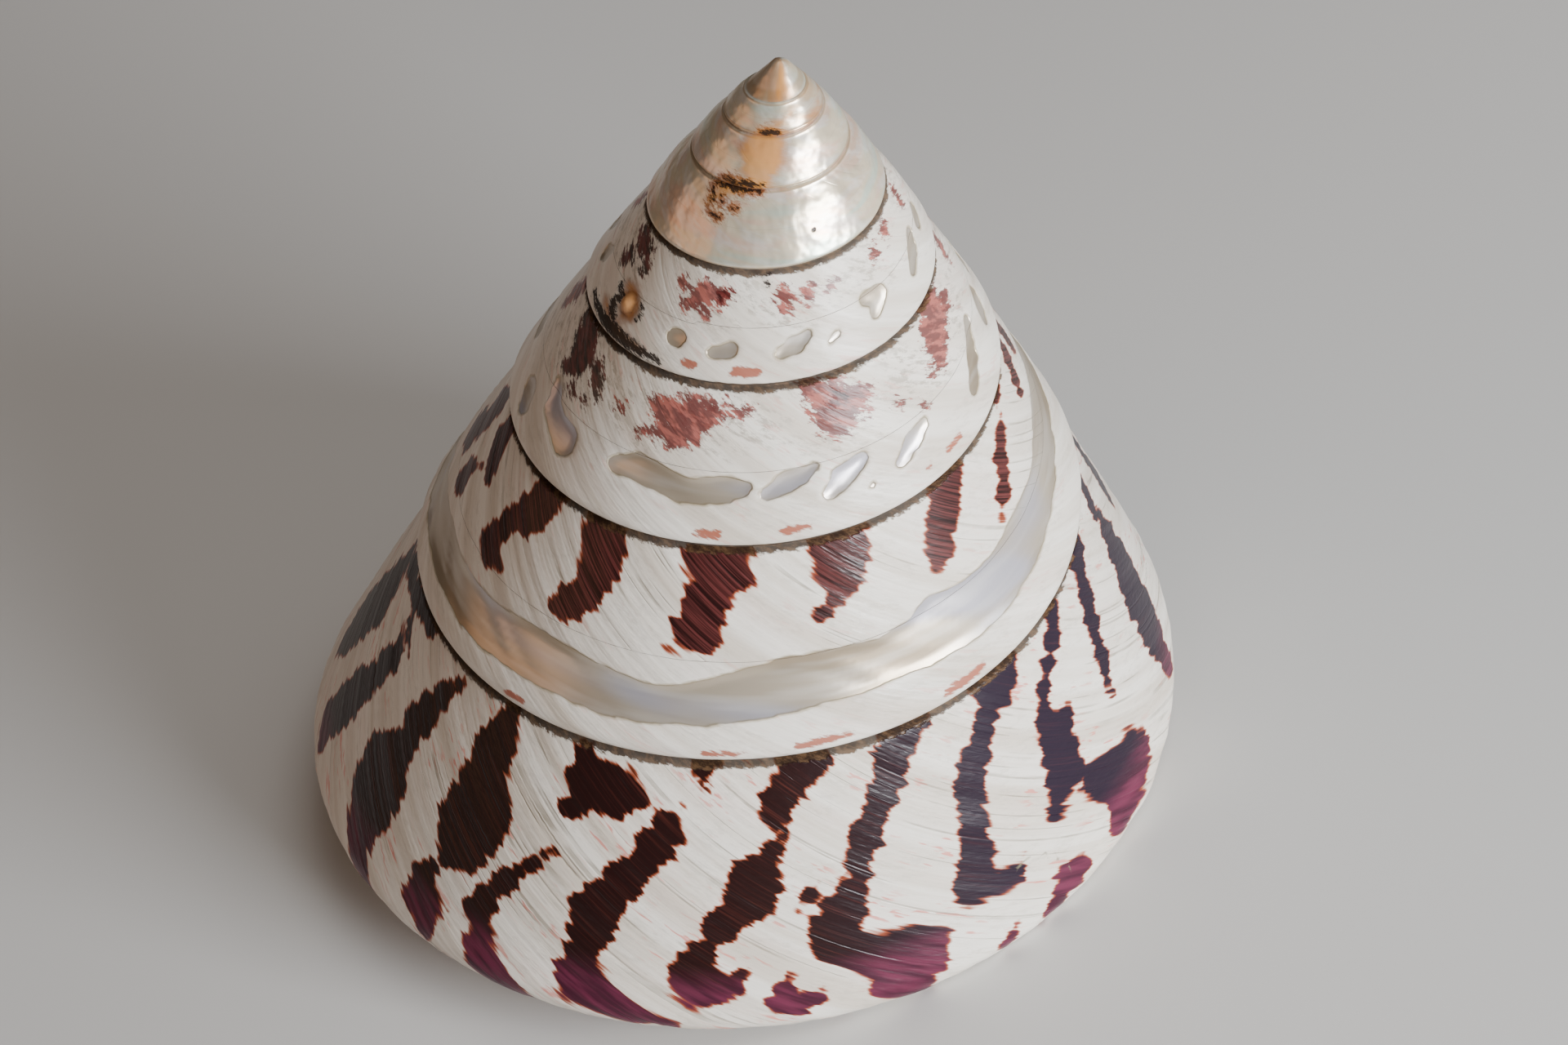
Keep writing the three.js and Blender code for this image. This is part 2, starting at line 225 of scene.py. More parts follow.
# Broken, salmon-coloured patches of the older whorls
BLOTCHES = [
    [(-1.955, .21, .6), (-1.940, .25, 1.3), (-1.920, .25, 1.5), (-1.902, .22, .8)],
    [(-1.938, .33, 1.0), (-1.925, .38, 1.0), (-1.908, .36, .7)],
    [(-1.948, .14, .6), (-1.930, .12, .5)],
    [(-1.962, .19, .3), (-1.978, .16, .5)],
    [(-2.030, .03, .6), (-2.038, .10, 1.0), (-2.050, .20, 1.9), (-2.053, .31, 1.5)],
    [(-2.070, .22, 1.2), (-2.082, .24, .6)],
    [(-2.178, .06, .8), (-2.190, .14, 1.6), (-2.176, .23, 1.9), (-2.166, .36, 1.1)],
    [(-2.206, .18, .8), (-2.216, .22, .6)],
    [(-1.870, .31, .4), (-1.872, .32, .4)],
    [(-1.895, .42, .3), (-1.897, .43, .3)],
    [(-1.958, .12, .3), (-1.962, .14, .3)],
    [(-2.076, .33, .4), (-2.078, .36, .4)],
    [(-2.105, .40, .3), (-2.109, .43, .4)],
    [(-2.126, .55, .25), (-2.129, .57, .25)],
    [(-2.145, .40, .25), (-2.147, .41, .25)],
    [(-2.898, .42, .6), (-2.905, .34, .7), (-2.918, .25, 1.0), (-2.937, .27, .7)],
    [(-2.885, .24, .4), (-2.893, .28, .5)],
    [(-2.922, .39, .4), (-2.926, .43, .4)],
    [(-3.010, .24, .6), (-3.013, .33, .7)],
    [(-3.041, .23, .4), (-3.036, .32, .5)],
    [(-3.067, .28, .3), (-3.068, .29, .3)],
    [(-3.141, .26, .4), (-3.142, .28, .4)],
    [(-3.178, .14, .3), (-3.172, .22, .4)],
    [(-3.247, .18, .4), (-3.243, .30, .4)],
]
DARK_BLOTCHES = [
    [(-1.782, .05, .9), (-1.797, .14, 1.7), (-1.806, .26, 1.7), (-1.800, .38, 1.0)],
    [(-1.830, .20, .7), (-1.836, .27, .8)],
    [(-1.842, .34, .4), (-1.844, .36, .4)],
    [(-1.815, .45, .6), (-1.819, .48, .5)],
    [(-1.836, .44, .4), (-1.838, .46, .3)],
    [(-2.782, .12, .7), (-2.800, .20, 1.0), (-2.812, .16, .7)],
    [(-2.788, .38, .8), (-2.784, .46, .6)],
    [(-2.822, .28, .5), (-2.826, .34, .4)],
    [(-2.938, .26, .3), (-2.946, .22, .3)],
    [(-2.053, .19, .45), (-2.060, .17, .35)],
]
OLIVE_RING = [
    [(-.099, .80, .08), (-.106, .775, .16), (-.115, .80, .22), (-.123, .87, .22), (-.126, .96, .10)],
]
# Short red dashes of pigment just above a suture
DASHES = [
    [(-1.953, .985, .25), (-1.966, .985, .35)],
    [(-2.008, .975, .25), (-2.024, .975, .25)],
    [(-2.136, .93, .25), (-2.149, .92, .25)],
    [(-2.115, .93, .15), (-2.118, .93, .15)],
    [(-2.965, .935, .4), (-2.985, .94, .3)],
    [(-2.915, .93, .3), (-2.925, .93, .3)],
    [(-1.015, 1.02, .3), (-1.040, 1.01, .25)],
    [(-.972, 1.03, .25), (-.990, 1.03, .15)],
    [(-1.090, 1.01, .35), (-1.112, 1.00, .3)],
    [(-.870, 1.02, .3), (-.880, 1.02, .2)],
]
# Windows that polishing has cut through to the mother-of-pearl
WINDOWS = [
    [(-2.898, .735, .75), (-2.902, .735, .75)],
    [(-2.941, .78, .55), (-2.956, .74, .75)],
    [(-3.007, .78, .55), (-3.020, .73, .9), (-3.033, .66, .55)],
    [(-3.057, .78, .3), (-3.065, .74, .35)],
    [(-3.106, .56, .6), (-3.122, .62, .95), (-3.113, .73, .6)],
    [(-3.214, .52, .55), (-3.200, .63, .75), (-3.185, .74, .5)],
    [(-3.262, .56, .5), (-3.245, .64, .6)],
    [(-1.886, .68, .9), (-1.901, .65, 1.3), (-1.919, .67, 1.2), (-1.938, .72, 1.15), (-1.953, .71, 1.1),
     (-1.968, .68, 1.2), (-1.980, .68, .8)],
    [(-1.996, .72, .55), (-2.012, .65, 1.0), (-2.030, .59, .5)],
    [(-2.041, .78, .65), (-2.051, .71, 1.05), (-2.067, .64, .65)],
    [(-2.070, .84, .25), (-2.072, .83, .25)],
    [(-2.096, .78, .5), (-2.110, .71, .95), (-2.124, .65, .5)],
    [(-2.222, .52, .6), (-2.203, .66, .9), (-2.184, .80, .65)],
    [(-1.800, .52, .7), (-1.809, .66, 1.2), (-1.822, .71, 1.3), (-1.836, .75, 1.5)],
    [(-1.772, .80, 1.3), (-1.778, .88, 1.0)],
]
# The band of mother-of-pearl round the second whorl: turn, upper edge, lower edge
PEARL_BAND = [
    (-1.50, .62, .66), (-1.44, .52, .76), (-1.38, .48, .72), (-1.32, .42, .70), (-1.28, .40, .67),
    (-1.251, .40, .67), (-1.226, .42, .71), (-1.20, .48, .75), (-1.165, .49, .81), (-1.14, .54, .84),
    (-1.116, .54, .85), (-1.091, .49, .84), (-1.079, .55, .83), (-1.06, .58, .82), (-1.03, .56, .83),
    (-1.005, .56, .85), (-.98, .62, .88), (-.956, .69, .90), (-.941, .71, .92), (-.92, .68, .92),
    (-.895, .65, .91), (-.867, .64, .91), (-.84, .68, .93), (-.806, .68, .91), (-.772, .66, .90),
    (-.735, .71, .93), (-.69, .72, .93), (-.64, .76, .93), (-.59, .76, .90), (-.54, .80, .90),
    (-.50, .85, .87),
]
RUST = [
    [(-4.962, .06, 1.5), (-4.956, .30, 2.1), (-4.960, .54, 2.0), (-4.962, .90, 1.3)],
    [(-4.985, .97, .5), (-4.93, .99, .8), (-4.89, 1.0, .5)],
    [(-5.93, .95, .45), (-5.97, .97, .6), (-6.02, .97, .45)],
    [(-7.06, .60, .55), (-7.00, .88, .65)],
    [(-6.05, .45, .5), (-5.98, .80, .6)],
    [(-6.20, .80, .4), (-6.12, .90, .5)],
    [(-3.93, .02, .7), (-3.89, .08, .9), (-3.875, .30, .5)],
    [(-2.825, .62, 1.3), (-2.833, .74, 1.5)],
    [(-2.800, .86, .5), (-2.83, .95, .6), (-2.87, .97, .4)],
]
BLACK_STAINS = [
    [(-5.950, .985, .20), (-5.968, .985, .34), (-5.992, .99, .22)],
    [(-4.883, .985, .05), (-4.905, .99, .22), (-4.935, .985, .25), (-4.965, .98, .1)],
    [(-3.870, .03, .05), (-3.898, .02, .25), (-3.925, .02, .28), (-3.965, .02, .1)],
    [(-3.868, .10, .05), (-3.878, .20, .08), (-3.880, .32, .06)],
    [(-3.893, .16, .08), (-3.900, .26, .02)],
    [(-3.918, .27, .02), (-3.930, .29, .05)],
    [(-3.885, .42, .02), (-3.905, .46, .08)],
    [(-2.990, .05, .10), (-2.989, .10, .16), (-2.992, .15, .08)],
    [(-2.776, .93, .25), (-2.795, .96, .4), (-2.820, .975, .6), (-2.850, .985, .5), (-2.89, .99, .3)],
    [(-2.806, .62, .3), (-2.814, .70, .35), (-2.810, .80, .4), (-2.822, .90, .4)],
    [(-2.846, .60, .14), (-2.853, .68, .16), (-2.850, .78, .14)],
]
DOT = [[(-4.0575, .66, .17), (-4.0585, .66, .17)]]
# Fine grey lines left by pauses in growth: turn at the suture, where the line starts and ends down the side
PAUSES = [
    (-.009, .36, 1.2), (-.052, .30, .62), (.030, .06, .52), (.046, .5, 1.1), (.084, .30, .9), (.108, .4, .8),
    (-.098, .1, .5), (-.128, .4, 1.1), (-.036, .10, .34), (.145, .30, .7), (.172, .2, .9), (-.150, .25, .8),
]
SCAR = (-.012, .46)  # where a healed break in the lip crosses the side
KNOB = (-2.828, .70)  # a round growth, turn and place down the side

# The mesh: places down the side, shares of the arc round the edge, and shares and radii of the base
NEAR_SUTURE = [0, .006, .013, .021, .031, .044, .06, .08, .105, .135]
FLANK_PLACES = np.concatenate([NEAR_SUTURE, np.linspace(.165, 1, 27)])
COVERED_ARC = np.array([.15, .3, .45, .6, .75, .88, 1])
OPEN_ARC = np.array([.25, .5, .75, 1])
BASE_SHARES = np.array([.97, .93, .88, .82, .76, .7, .63, .56, .49, .42, .35, .28, .21, .14, .07])
PILLAR_RADII = np.array([8.8, 7.9, 7.1, 6.4, 5.7, 5.1, 4.4, 3.4, 2.3, 1.1])  # mm
PILLAR_COLUMNS = int((PILLAR_RADII <= PILLAR_RADIUS).sum())
TIP_RINGS = 8
LENGTH_TURNS = np.linspace(-8.5, 1.2, 4000)  # where the suture's length is added up
SHARP_ANGLE = math.radians(50)


def smooth(value, start, end):
    """0 at start, 1 at end, with a smooth run between."""
    share = np.clip((value - start) / (end - start), 0, 1)
    return share * share * (3 - 2 * share)


def slant_at(turn):
    """How far the suture is from the cone's point, in mm."""
    return SUTURE_SLANT * np.exp(GROWTH_RATE * turn - GROWTH_SLOWING * turn * turn)


def suture_at(turn):
    """Radius and depth of the suture line."""
    half_angle = CONE_HALF_ANGLE - CONE_NARROWING * turn
    return slant_at(turn) * np.sin(half_angle), slant_at(turn) * np.cos(half_angle)


def base_depth(radius, edge_radius, edge_depth):
    """Depth of the base: a low cone with a pillar at the axis and a dimple in the pillar."""
    pillar = smooth(radius, PILLAR_RADIUS, PILLAR_FLARE)
    outer = np.maximum(0, (radius - PILLAR_FLARE) / (edge_radius - PILLAR_FLARE))
    fall = PILLAR_SHARE * pillar + (1 - PILLAR_SHARE) * np.sin(np.pi / 2 * outer)
    bulge = BASE_BULGE * np.sin(np.pi * outer) ** 2
    dimple = AXIS_DIMPLE * np.exp(-((radius / DIMPLE_RADIUS) ** 2))
    return AXIS_DEPTH + (edge_depth - AXIS_DEPTH) * fall + bulge - dimple


class Whorl:
    """Sections of the whorls whose upper sutures lie at the given turns.

    A place on a section is 0 to 1 down the side, 1 to 2 round the lower edge and 2 to 3 in to the axis.
    """

    def __init__(self, turn):
        self.turn = turn
        self.top_r, self.top_d = suture_at(turn)
        next_r, next_d = suture_at(turn + 1)
        self.round = EDGE_ROUNDING * slant_at(turn + 1)
        self.centre_r = next_r - self.round * math.cos(SUTURE_TUCK)
        self.centre_d = next_d - self.round * math.sin(SUTURE_TUCK)
        across_r, across_d = self.centre_r - self.top_r, self.centre_d - self.top_d
        self.slope = np.arctan2(across_r, across_d) + np.arcsin(self.round / np.hypot(across_r, across_d))
        self.out_r, self.out_d = np.cos(self.slope), -np.sin(self.slope)
        self.foot_r = self.centre_r + self.round * self.out_r
        self.foot_d = self.centre_d + self.round * self.out_d
        self.width = np.hypot(self.foot_r - self.top_r, self.foot_d - self.top_d)
        self.seam_place = 1 + (SUTURE_TUCK + self.slope) / (np.pi / 2 + self.slope)

    def reach(self, place):
        """How far a place is below the suture, measured over the surface in widths of the side."""
        arc = np.clip(place - 1, 0, 1) * (np.pi / 2 + self.slope) * self.round
        base = np.clip(place - 2, 0, 1) * self.centre_r
        return np.clip(place, 0, 1) + (arc + base) / self.width

    def section(self, place):
        """Radius, depth and the outward direction's two parts at a place."""
        v = np.clip(place, 0, 1)
        bulge = FLANK_BULGE * self.width * 16 * v * v * (1 - v) ** 2
        g = -self.slope + (np.pi / 2 + self.slope) * np.clip(place - 1, 0, 1)
        base_r = self.centre_r * np.clip(3 - place, 0, 1)
        on_arc, on_base = place > 1, place > 2
        r = self.top_r + (self.foot_r - self.top_r) * v + bulge * self.out_r
        d = self.top_d + (self.foot_d - self.top_d) * v + bulge * self.out_d
        r = np.where(on_arc, self.centre_r + self.round * np.cos(g), r)
        d = np.where(on_arc, self.centre_d + self.round * np.sin(g), d)
        r = np.where(on_base, base_r, r)
        d = np.where(on_base, base_depth(base_r, self.centre_r, self.centre_d + self.round), d)
        out_r = np.where(on_base, 0, np.where(on_arc, np.cos(g), self.out_r))
        out_d = np.where(on_base, 1, np.where(on_arc, np.sin(g), self.out_d))
        return r, d, out_r, out_d

    def girth(self, place):
        """Length in mm of a full turn at a place."""
        return 2 * np.pi * np.maximum(self.section(place)[0], 1)


def standing(turn, radius, depth):
    """Points about the shell's own axis, in mm."""
    bearing = -np.pi / 2 - turn * 2 * np.pi
    return np.stack([radius * np.cos(bearing), radius * np.sin(bearing), -depth], -1)


def spiral_length(turn):
    """Length of the suture up to a turn, in mm, for turns in any order."""
    radius = suture_at(LENGTH_TURNS)[0]
    length = np.concatenate([[0], np.cumsum((radius[1:] + radius[:-1]) * np.pi * np.diff(LENGTH_TURNS))])
    return np.interp(turn, LENGTH_TURNS, length)


def growth_lag(reach):
    """How far a growth line trails, in turns, at a reach below the suture."""
    return GROWTH_LAG * reach + GROWTH_LAG_CURVE * reach * reach


def lean_matrix():
    """How the shell leans from its own axis to where it rests."""
    hinge = Vector((-math.sin(LEAN_HEADING), math.cos(LEAN_HEADING), 0))
    return Matrix.Rotation(LEAN, 3, hinge)


def rest_place():
    """Where the cone's point comes to when the shell is leaned over and set down, in metres."""
    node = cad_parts["shell"]
    tip = max((v.co for v in node.data.vertices), key=lambda co: co.z)
    return Vector(tip) - lean_matrix() @ Vector((0, 0, -TIP_DEPTH * MM))


def set_down(points):
    """Points in mm about the shell's own axis, moved to where it rests, in metres."""
    turned = points @ np.array(lean_matrix()).T * MM
    return turned + np.array(rest_place())


class Marks:
    """Points on the surface, sorted by turn, and how far each is from painted paths."""

    def __init__(self, turn, place):
        self.order = np.argsort(turn, kind="stable")
        self.turn = turn[self.order]
        self.whorl = Whorl(self.turn)
        self.place = place[self.order]
        self.reach = self.whorl.reach(self.place)
        self.girth = self.whorl.girth(self.place)

    def unsorted(self, values):
        back = np.empty_like(values)
        back[self.order] = values
        return back

    def edge_distance(self, paths):
        """Distance in mm to the nearest path's edge, negative inside it."""
        best = np.full(self.turn.shape, FAR)
        for path in paths:
            for first, second in zip(path, path[1:]):
                self._pass_segment(best, first, second)
        return self.unsorted(best)

    def _pass_segment(self, best, first, second):
        """Lowers best to the distance from one segment, for the points near it."""
        (t0, y0, w0), (t1, y1, w1) = first, second
        girth = 2 * np.pi * max(suture_at(min(t0, t1))[0], 1)
        margin = (FAR * NEAR_SHARE + max(w0, w1)) / girth
        low, high = np.searchsorted(self.turn, [min(t0, t1) - margin, max(t0, t1) + margin])
        near = slice(low, high)
        girth, width = self.girth[near], self.whorl.width[near]
        px, py = (self.turn[near] - t0) * girth, (self.reach[near] - y0) * width
        sx, sy = (t1 - t0) * girth, (y1 - y0) * width
        along = np.clip((px * sx + py * sy) / np.maximum(sx * sx + sy * sy, 1e-9), 0, 1)
        distance = np.hypot(px - along * sx, py - along * sy) - (w0 + (w1 - w0) * along)
        best[near] = np.minimum(best[near], distance)

    def band_distance(self, band):
        """Distance in mm to the edge of a band given by its upper and lower reach, negative inside."""
        turns, upper, lower = np.array(band).T
        high, low = np.interp(self.turn, turns, upper), np.interp(self.turn, turns, lower)
        outside = np.maximum(high - self.reach, self.reach - low) * self.whorl.width
        past_ends = np.maximum(turns[0] - self.turn, self.turn - turns[-1]) * self.girth
        return self.unsorted(np.minimum(np.maximum(outside, past_ends), FAR))

    def seam_distance(self):
        """Distance in mm from the suture, positive below it and negative above the next one."""
        below = self.reach * self.whorl.width
        above = (self.whorl.reach(self.whorl.seam_place) - self.reach) * self.whorl.width
        covered = self.turn <= MOUTH - 1 + 1e-6
        signed = np.where(covered & (above < below), -np.maximum(above, 0), below)
        return self.unsorted(np.clip(signed, -FAR, FAR))


def hidden_flames(seed, turns, spacing, half_width, length, wander):
    """Flames for a stretch of whorl that the camera doesn't see, in the manner of those that it does."""
    random = np.random.default_rng(seed)
    flames = []
    turn = turns[0]
    while turn < turns[1]:
        end = length * random.uniform(.75, 1.1)
        gap = random.uniform(.25, .7) if random.random() < .5 else 9
        path, t = [], turn
        reach = .01
        while reach < end:
            taper = min(1, .55 + reach * 2) * (1 if reach < end - .12 else .5)
            width = half_width * random.uniform(.55, 1.25) * taper
            if abs(reach - gap) < .05:
                if len(path) > 1:
                    flames.append(path)
                path = []
            else:
                path.append((t, reach, width))
            step = random.uniform(.07, .11)
            reach += step
            t += wander * step + random.uniform(-.004, .004)
        if len(path) > 1:
            flames.append(path)
        turn += spacing * random.uniform(.75, 1.25)
    return flames


def base_flames(seed):
    """Short streaks that run in over the base from the flames of the last whorl."""
    random = np.random.default_rng(seed)
    streaks = []
    for turn in np.arange(-.42, .57, .031):
        start = 1.22 + random.uniform(0, .1)
        reach, t, path = start, turn + random.uniform(-.008, .008), []
        while reach < start + random.uniform(.25, .75):
            path.append((t, reach, random.uniform(.45, 1.0)))
            reach += random.uniform(.05, .09)
            t -= random.uniform(.000, .012)
        if len(path) > 1:
            streaks.append(path)
    return streaks


def hidden_windows(seed):
    """Windows of pearl for the stretches that the camera doesn't see."""
    random = np.random.default_rng(seed)
    found = []
    for turn in [-3.40, -3.34, -2.745, -2.69, -2.63, -2.565, -2.50, -2.44, -2.37, -2.31, -2.26]:
        size = .7 + .35 * (turn + 3.4)
        y = random.uniform(.62, .72)
        lean = random.uniform(.004, .012)
        found.append([(turn - lean, y - .07, size * .6), (turn, y, size), (turn + lean, y + .06, size * .7)])
    turn = -1.72
    while turn < -1.50:
        y = random.uniform(.64, .72)
        found.append([(turn, y, .8), (turn + .022, y - .03, 1.3), (turn + .044, y + .02, 1.1)])
        turn += .055
    return found


ALL_FLAMES = (
    BODY_FLAMES
    + SECOND_FLAMES
    + hidden_flames(11, (.312, .60), .046, 2.0, 1.05, .05)
    + hidden_flames(12, (-.735, -.29), .052, 1.9, .72, .05)
    + hidden_flames(13, (-1.44, -1.285), .052, 1.5, .42, .05)
    + base_flames(17)
)
ALL_BLOTCHES = (
    BLOTCHES
    + hidden_flames(14, (-1.74, -1.46), .06, 1.3, .36, .05)
    + hidden_flames(15, (-2.72, -2.24), .07, .8, .34, .05)
)
ALL_WINDOWS = WINDOWS + hidden_windows(16)
PAINTED = {
    "flame_edge": ALL_FLAMES,
    "blotch_edge": ALL_BLOTCHES,
    "dark_blotch_edge": DARK_BLOTCHES,
    "olive_edge": OLIVE_RING,
    "dash_edge": DASHES,
    "rust_edge": RUST,
    "black_edge": BLACK_STAINS,
    "dot_edge": DOT,
}


def relief(turn, place, marks, form):
    """Height in mm that the finished surface stands above the plain spiral."""
    whorl = Whorl(turn)
    reach = whorl.reach(place)
    small = np.clip(whorl.width / FULL_WIDTH, SMALLEST_SCALE, 1)
    seam = np.abs(marks.seam_distance())
    early = smooth(turn, *EARLY_WHORLS)
    height = -form.suture_groove / MM * small * np.exp(-((seam / (GROOVE_HALF_WIDTH * small)) ** 2))
    height += early * CORD_HEIGHT * small * np.exp(-(((seam - CORD_OFFSET) / CORD_HALF_WIDTH) ** 2))
    height *= smooth(turn, MOUTH - TURNS, FULL_RELIEF)
    swell = np.sin(np.pi * np.clip(reach, 0, 1) ** .8) ** 1.5
    height += early * smooth(turn, MOUTH - TURNS, FULL_SWELL) * EARLY_SWELL * whorl.width * swell
    growth_turn = turn + growth_lag(reach)
    growth = spiral_length(growth_turn)
    waves = sum(np.sin(2 * np.pi * growth / length + phase) for length, phase in WRINKLES) / len(WRINKLES)
    calm = smooth(seam, .2, 2.5) * (1 - smooth(place, 2.0, 2.3) * .6)
    height += form.wrinkle_height / MM * waves * calm * np.clip(smooth(turn, -1.6, -.4) + .25, 0, 1)
    window = np.minimum(marks.edge_distance(ALL_WINDOWS), marks.band_distance(PEARL_BAND))
    height -= form.pearl_recess / MM * small * (1 - smooth(window, -.5, .2))
    past_scar = growth_turn - SCAR[0]
    ridge = smooth(past_scar, .003, -.001) * smooth(past_scar, -.03, -.004)
    height += SCAR_STEP * ridge * smooth(reach, SCAR[1] - .1, SCAR[1] + .1)
    across, along = (turn - KNOB[0]) * whorl.girth(place), (reach - KNOB[1]) * whorl.width
    from_knob = np.hypot(across, along) / KNOB_RADIUS
    height += KNOB_HEIGHT * np.exp(-((from_knob / KNOB_SPREAD[0]) ** 2))
    height -= KNOB_MOAT * np.exp(-(((from_knob - 1) / KNOB_SPREAD[1]) ** 2))
    from_axis = whorl.centre_r * (3 - place)
    return height * np.where(place > 2, smooth(from_axis, PILLAR_RADIUS, PILLAR_FLARE), 1)


def section_places(turns):
    """Places of the points of each section, and the column of those that lie on the next suture."""
    whorl = Whorl(turns)
    seam_place, centre_r = whorl.seam_place[:, None], whorl.centre_r[:, None]
    sections = len(turns)
    flank = np.broadcast_to(FLANK_PLACES, (sections, len(FLANK_PLACES)))
    covered = np.hstack([flank, 1 + (seam_place - 1) * COVERED_ARC])
    rest = seam_place + (2 - seam_place) * OPEN_ARC
    outer = PILLAR_FLARE + (centre_r - PILLAR_FLARE) * BASE_SHARES
    radii = np.hstack([outer, np.broadcast_to(PILLAR_RADII, (sections, len(PILLAR_RADII)))])
    return np.hstack([covered, rest, 3 - radii / centre_r]), covered.shape[1] - 1


def vertex_numbers(rows, columns, seam, steps):
    """Each grid point's vertex number, -1 where it is covered, and how many vertices that makes.

    A whorl shares the points on its lower suture with the next whorl, and those at the pillar with itself.
    """
    last_turn = rows - steps
    index = np.full((rows + 1, columns), -1)
    index[:, :seam] = np.arange((rows + 1) * seam).reshape(rows + 1, seam)
    index[:last_turn + 1, seam] = index[steps:, 0]
    count = (rows + 1) * seam
    index[last_turn + 1:, seam] = count + np.arange(steps)
    count += steps
    inner = columns - seam - 1
    index[last_turn:, seam + 1:] = count + np.arange((steps + 1) * inner).reshape(steps + 1, inner)
    index[rows, -PILLAR_COLUMNS:] = index[last_turn, -PILLAR_COLUMNS:]
    return index, count + (steps + 1) * inner


def tip_depth(radius, depth):
    """Depth near the tip, where a small dome rounds it off."""
    inside = np.clip(radius, 0, TIP_RADIUS)
    dome = TIP_DEPTH + TIP_RADIUS - np.sqrt(TIP_RADIUS ** 2 - inside ** 2)
    return np.where(radius < TIP_RADIUS * .85, np.maximum(depth, dome), depth)


class Skin:
    """Faces, and the turn and place of each of their corners."""

    def __init__(self):
        self.faces = []
        self.corners = []

    def face(self, numbers, corners):
        self.faces.append([int(n) for n in numbers])
        self.corners.extend(corners)

    def quads(self, index, turn, place):
        """One face for each cell of a grid of vertex numbers."""
        here, beyond = slice(None, -1), slice(1, None)
        around = [(here, here), (here, beyond), (beyond, beyond), (beyond, here)]
        pairs = np.stack([turn, place], -1)
        self.faces.extend(np.stack([index[cell] for cell in around], -1).reshape(-1, 4).tolist())
        self.corners.extend(np.stack([pairs[cell] for cell in around], 2).reshape(-1, 2).tolist())

    def fan(self, index, turns):
        """Triangles round the tip, which is the grid's first column, and quads outside them."""
        place = np.linspace(.5, 1, index.shape[1])
        for i in range(index.shape[0] - 1):
            for k in range(index.shape[1] - 1):
                cell = [(i, k), (i, k + 1), (i + 1, k + 1), (i + 1, k)][:4 if k else 3]
                self.face([index[spot] for spot in cell], [(turns[n], place[j]) for n, j in cell])

    def numbered_afresh(self, vertices):
        """The vertices that a face uses, the faces by their new numbers, and the corners."""
        used = np.unique([n for face in self.faces for n in face])
        number = np.zeros(len(vertices), int)
        number[used] = np.arange(len(used))
        faces = [[int(number[n]) for n in face] for face in self.faces]
        return vertices[used], faces, np.array(self.corners)


def filled_shell(form):
    """Vertices in mm, faces, and each corner's turn and place, of the shell with its mouth filled in."""
    steps = form.steps_per_turn
    rows = int(TURNS * steps)
    last_turn = rows - steps
    turns = MOUTH - (rows - np.arange(rows + 1)) / steps
    places, seam = section_places(turns)
    grid_turn = np.broadcast_to(turns[:, None], places.shape)
    marks = Marks(grid_turn.ravel(), places.ravel())
    height = relief(grid_turn.ravel(), places.ravel(), marks, form).reshape(places.shape)
    r, d, out_r, out_d = Whorl(turns[:, None]).section(places)
    r, d = r + height * out_r, d + height * out_d
    d = tip_depth(r, d)

    index, axis = vertex_numbers(rows, places.shape[1], seam, steps)
    ring_index = axis + 1 + np.arange((steps + 1) * TIP_RINGS).reshape(steps + 1, TIP_RINGS)
    tip = axis + 1 + (steps + 1) * TIP_RINGS
    vertices = np.zeros((tip + 1, 3))
    placed = index >= 0
    placed[:last_turn + 1, seam] = False
    vertices[index[placed]] = standing(grid_turn, r, d)[placed]
    vertices[axis] = (0, 0, AXIS_DIMPLE - AXIS_DEPTH)
    shares = np.arange(1, TIP_RINGS + 1) / (TIP_RINGS + 1)
    ring_r, ring_d = r[:steps + 1, :1] * shares, d[:steps + 1, :1] * shares
    ring_turn = np.broadcast_to(turns[:steps + 1, None], ring_r.shape)
    vertices[ring_index] = standing(ring_turn, ring_r, tip_depth(ring_r, ring_d))
    vertices[tip] = (0, 0, -TIP_DEPTH)

    skin = Skin()
    early = slice(0, last_turn + 1), slice(0, seam + 1)
    last = slice(last_turn, None)
    skin.quads(index[early], grid_turn[early], places[early])
    skin.quads(index[last], grid_turn[last], places[last])
    for i in range(last_turn, rows):
        skin.face([index[i, -1], axis, index[i + 1, -1]],
                  [(turns[i], places[i, -1]), (turns[i], 3), (turns[i + 1], places[i + 1, -1])])

    # The cap over the tip, and the small step where the spiral starts
    skin.fan(np.hstack([np.full((steps + 1, 1), tip), ring_index, index[:steps + 1, :1]]), turns - 1)
    step_down = [tip, *ring_index[steps], index[steps, 0], *index[0, :seam][::-1], *ring_index[0][::-1]]
    skin.face(step_down, [(turns[0], .5)] * len(step_down))

    # The wall that closes the mouth
    ahead = range(places.shape[1] - PILLAR_COLUMNS + 1)
    behind = range(places.shape[1] - PILLAR_COLUMNS - 1, seam, -1)
    skin.face([index[rows, k] for k in ahead] + [index[last_turn, k] for k in behind],
              [(MOUTH, places[rows, k]) for k in ahead] + [(MOUTH, UNMARKED_PLACE)] * len(behind))
    return skin.numbered_afresh(vertices)


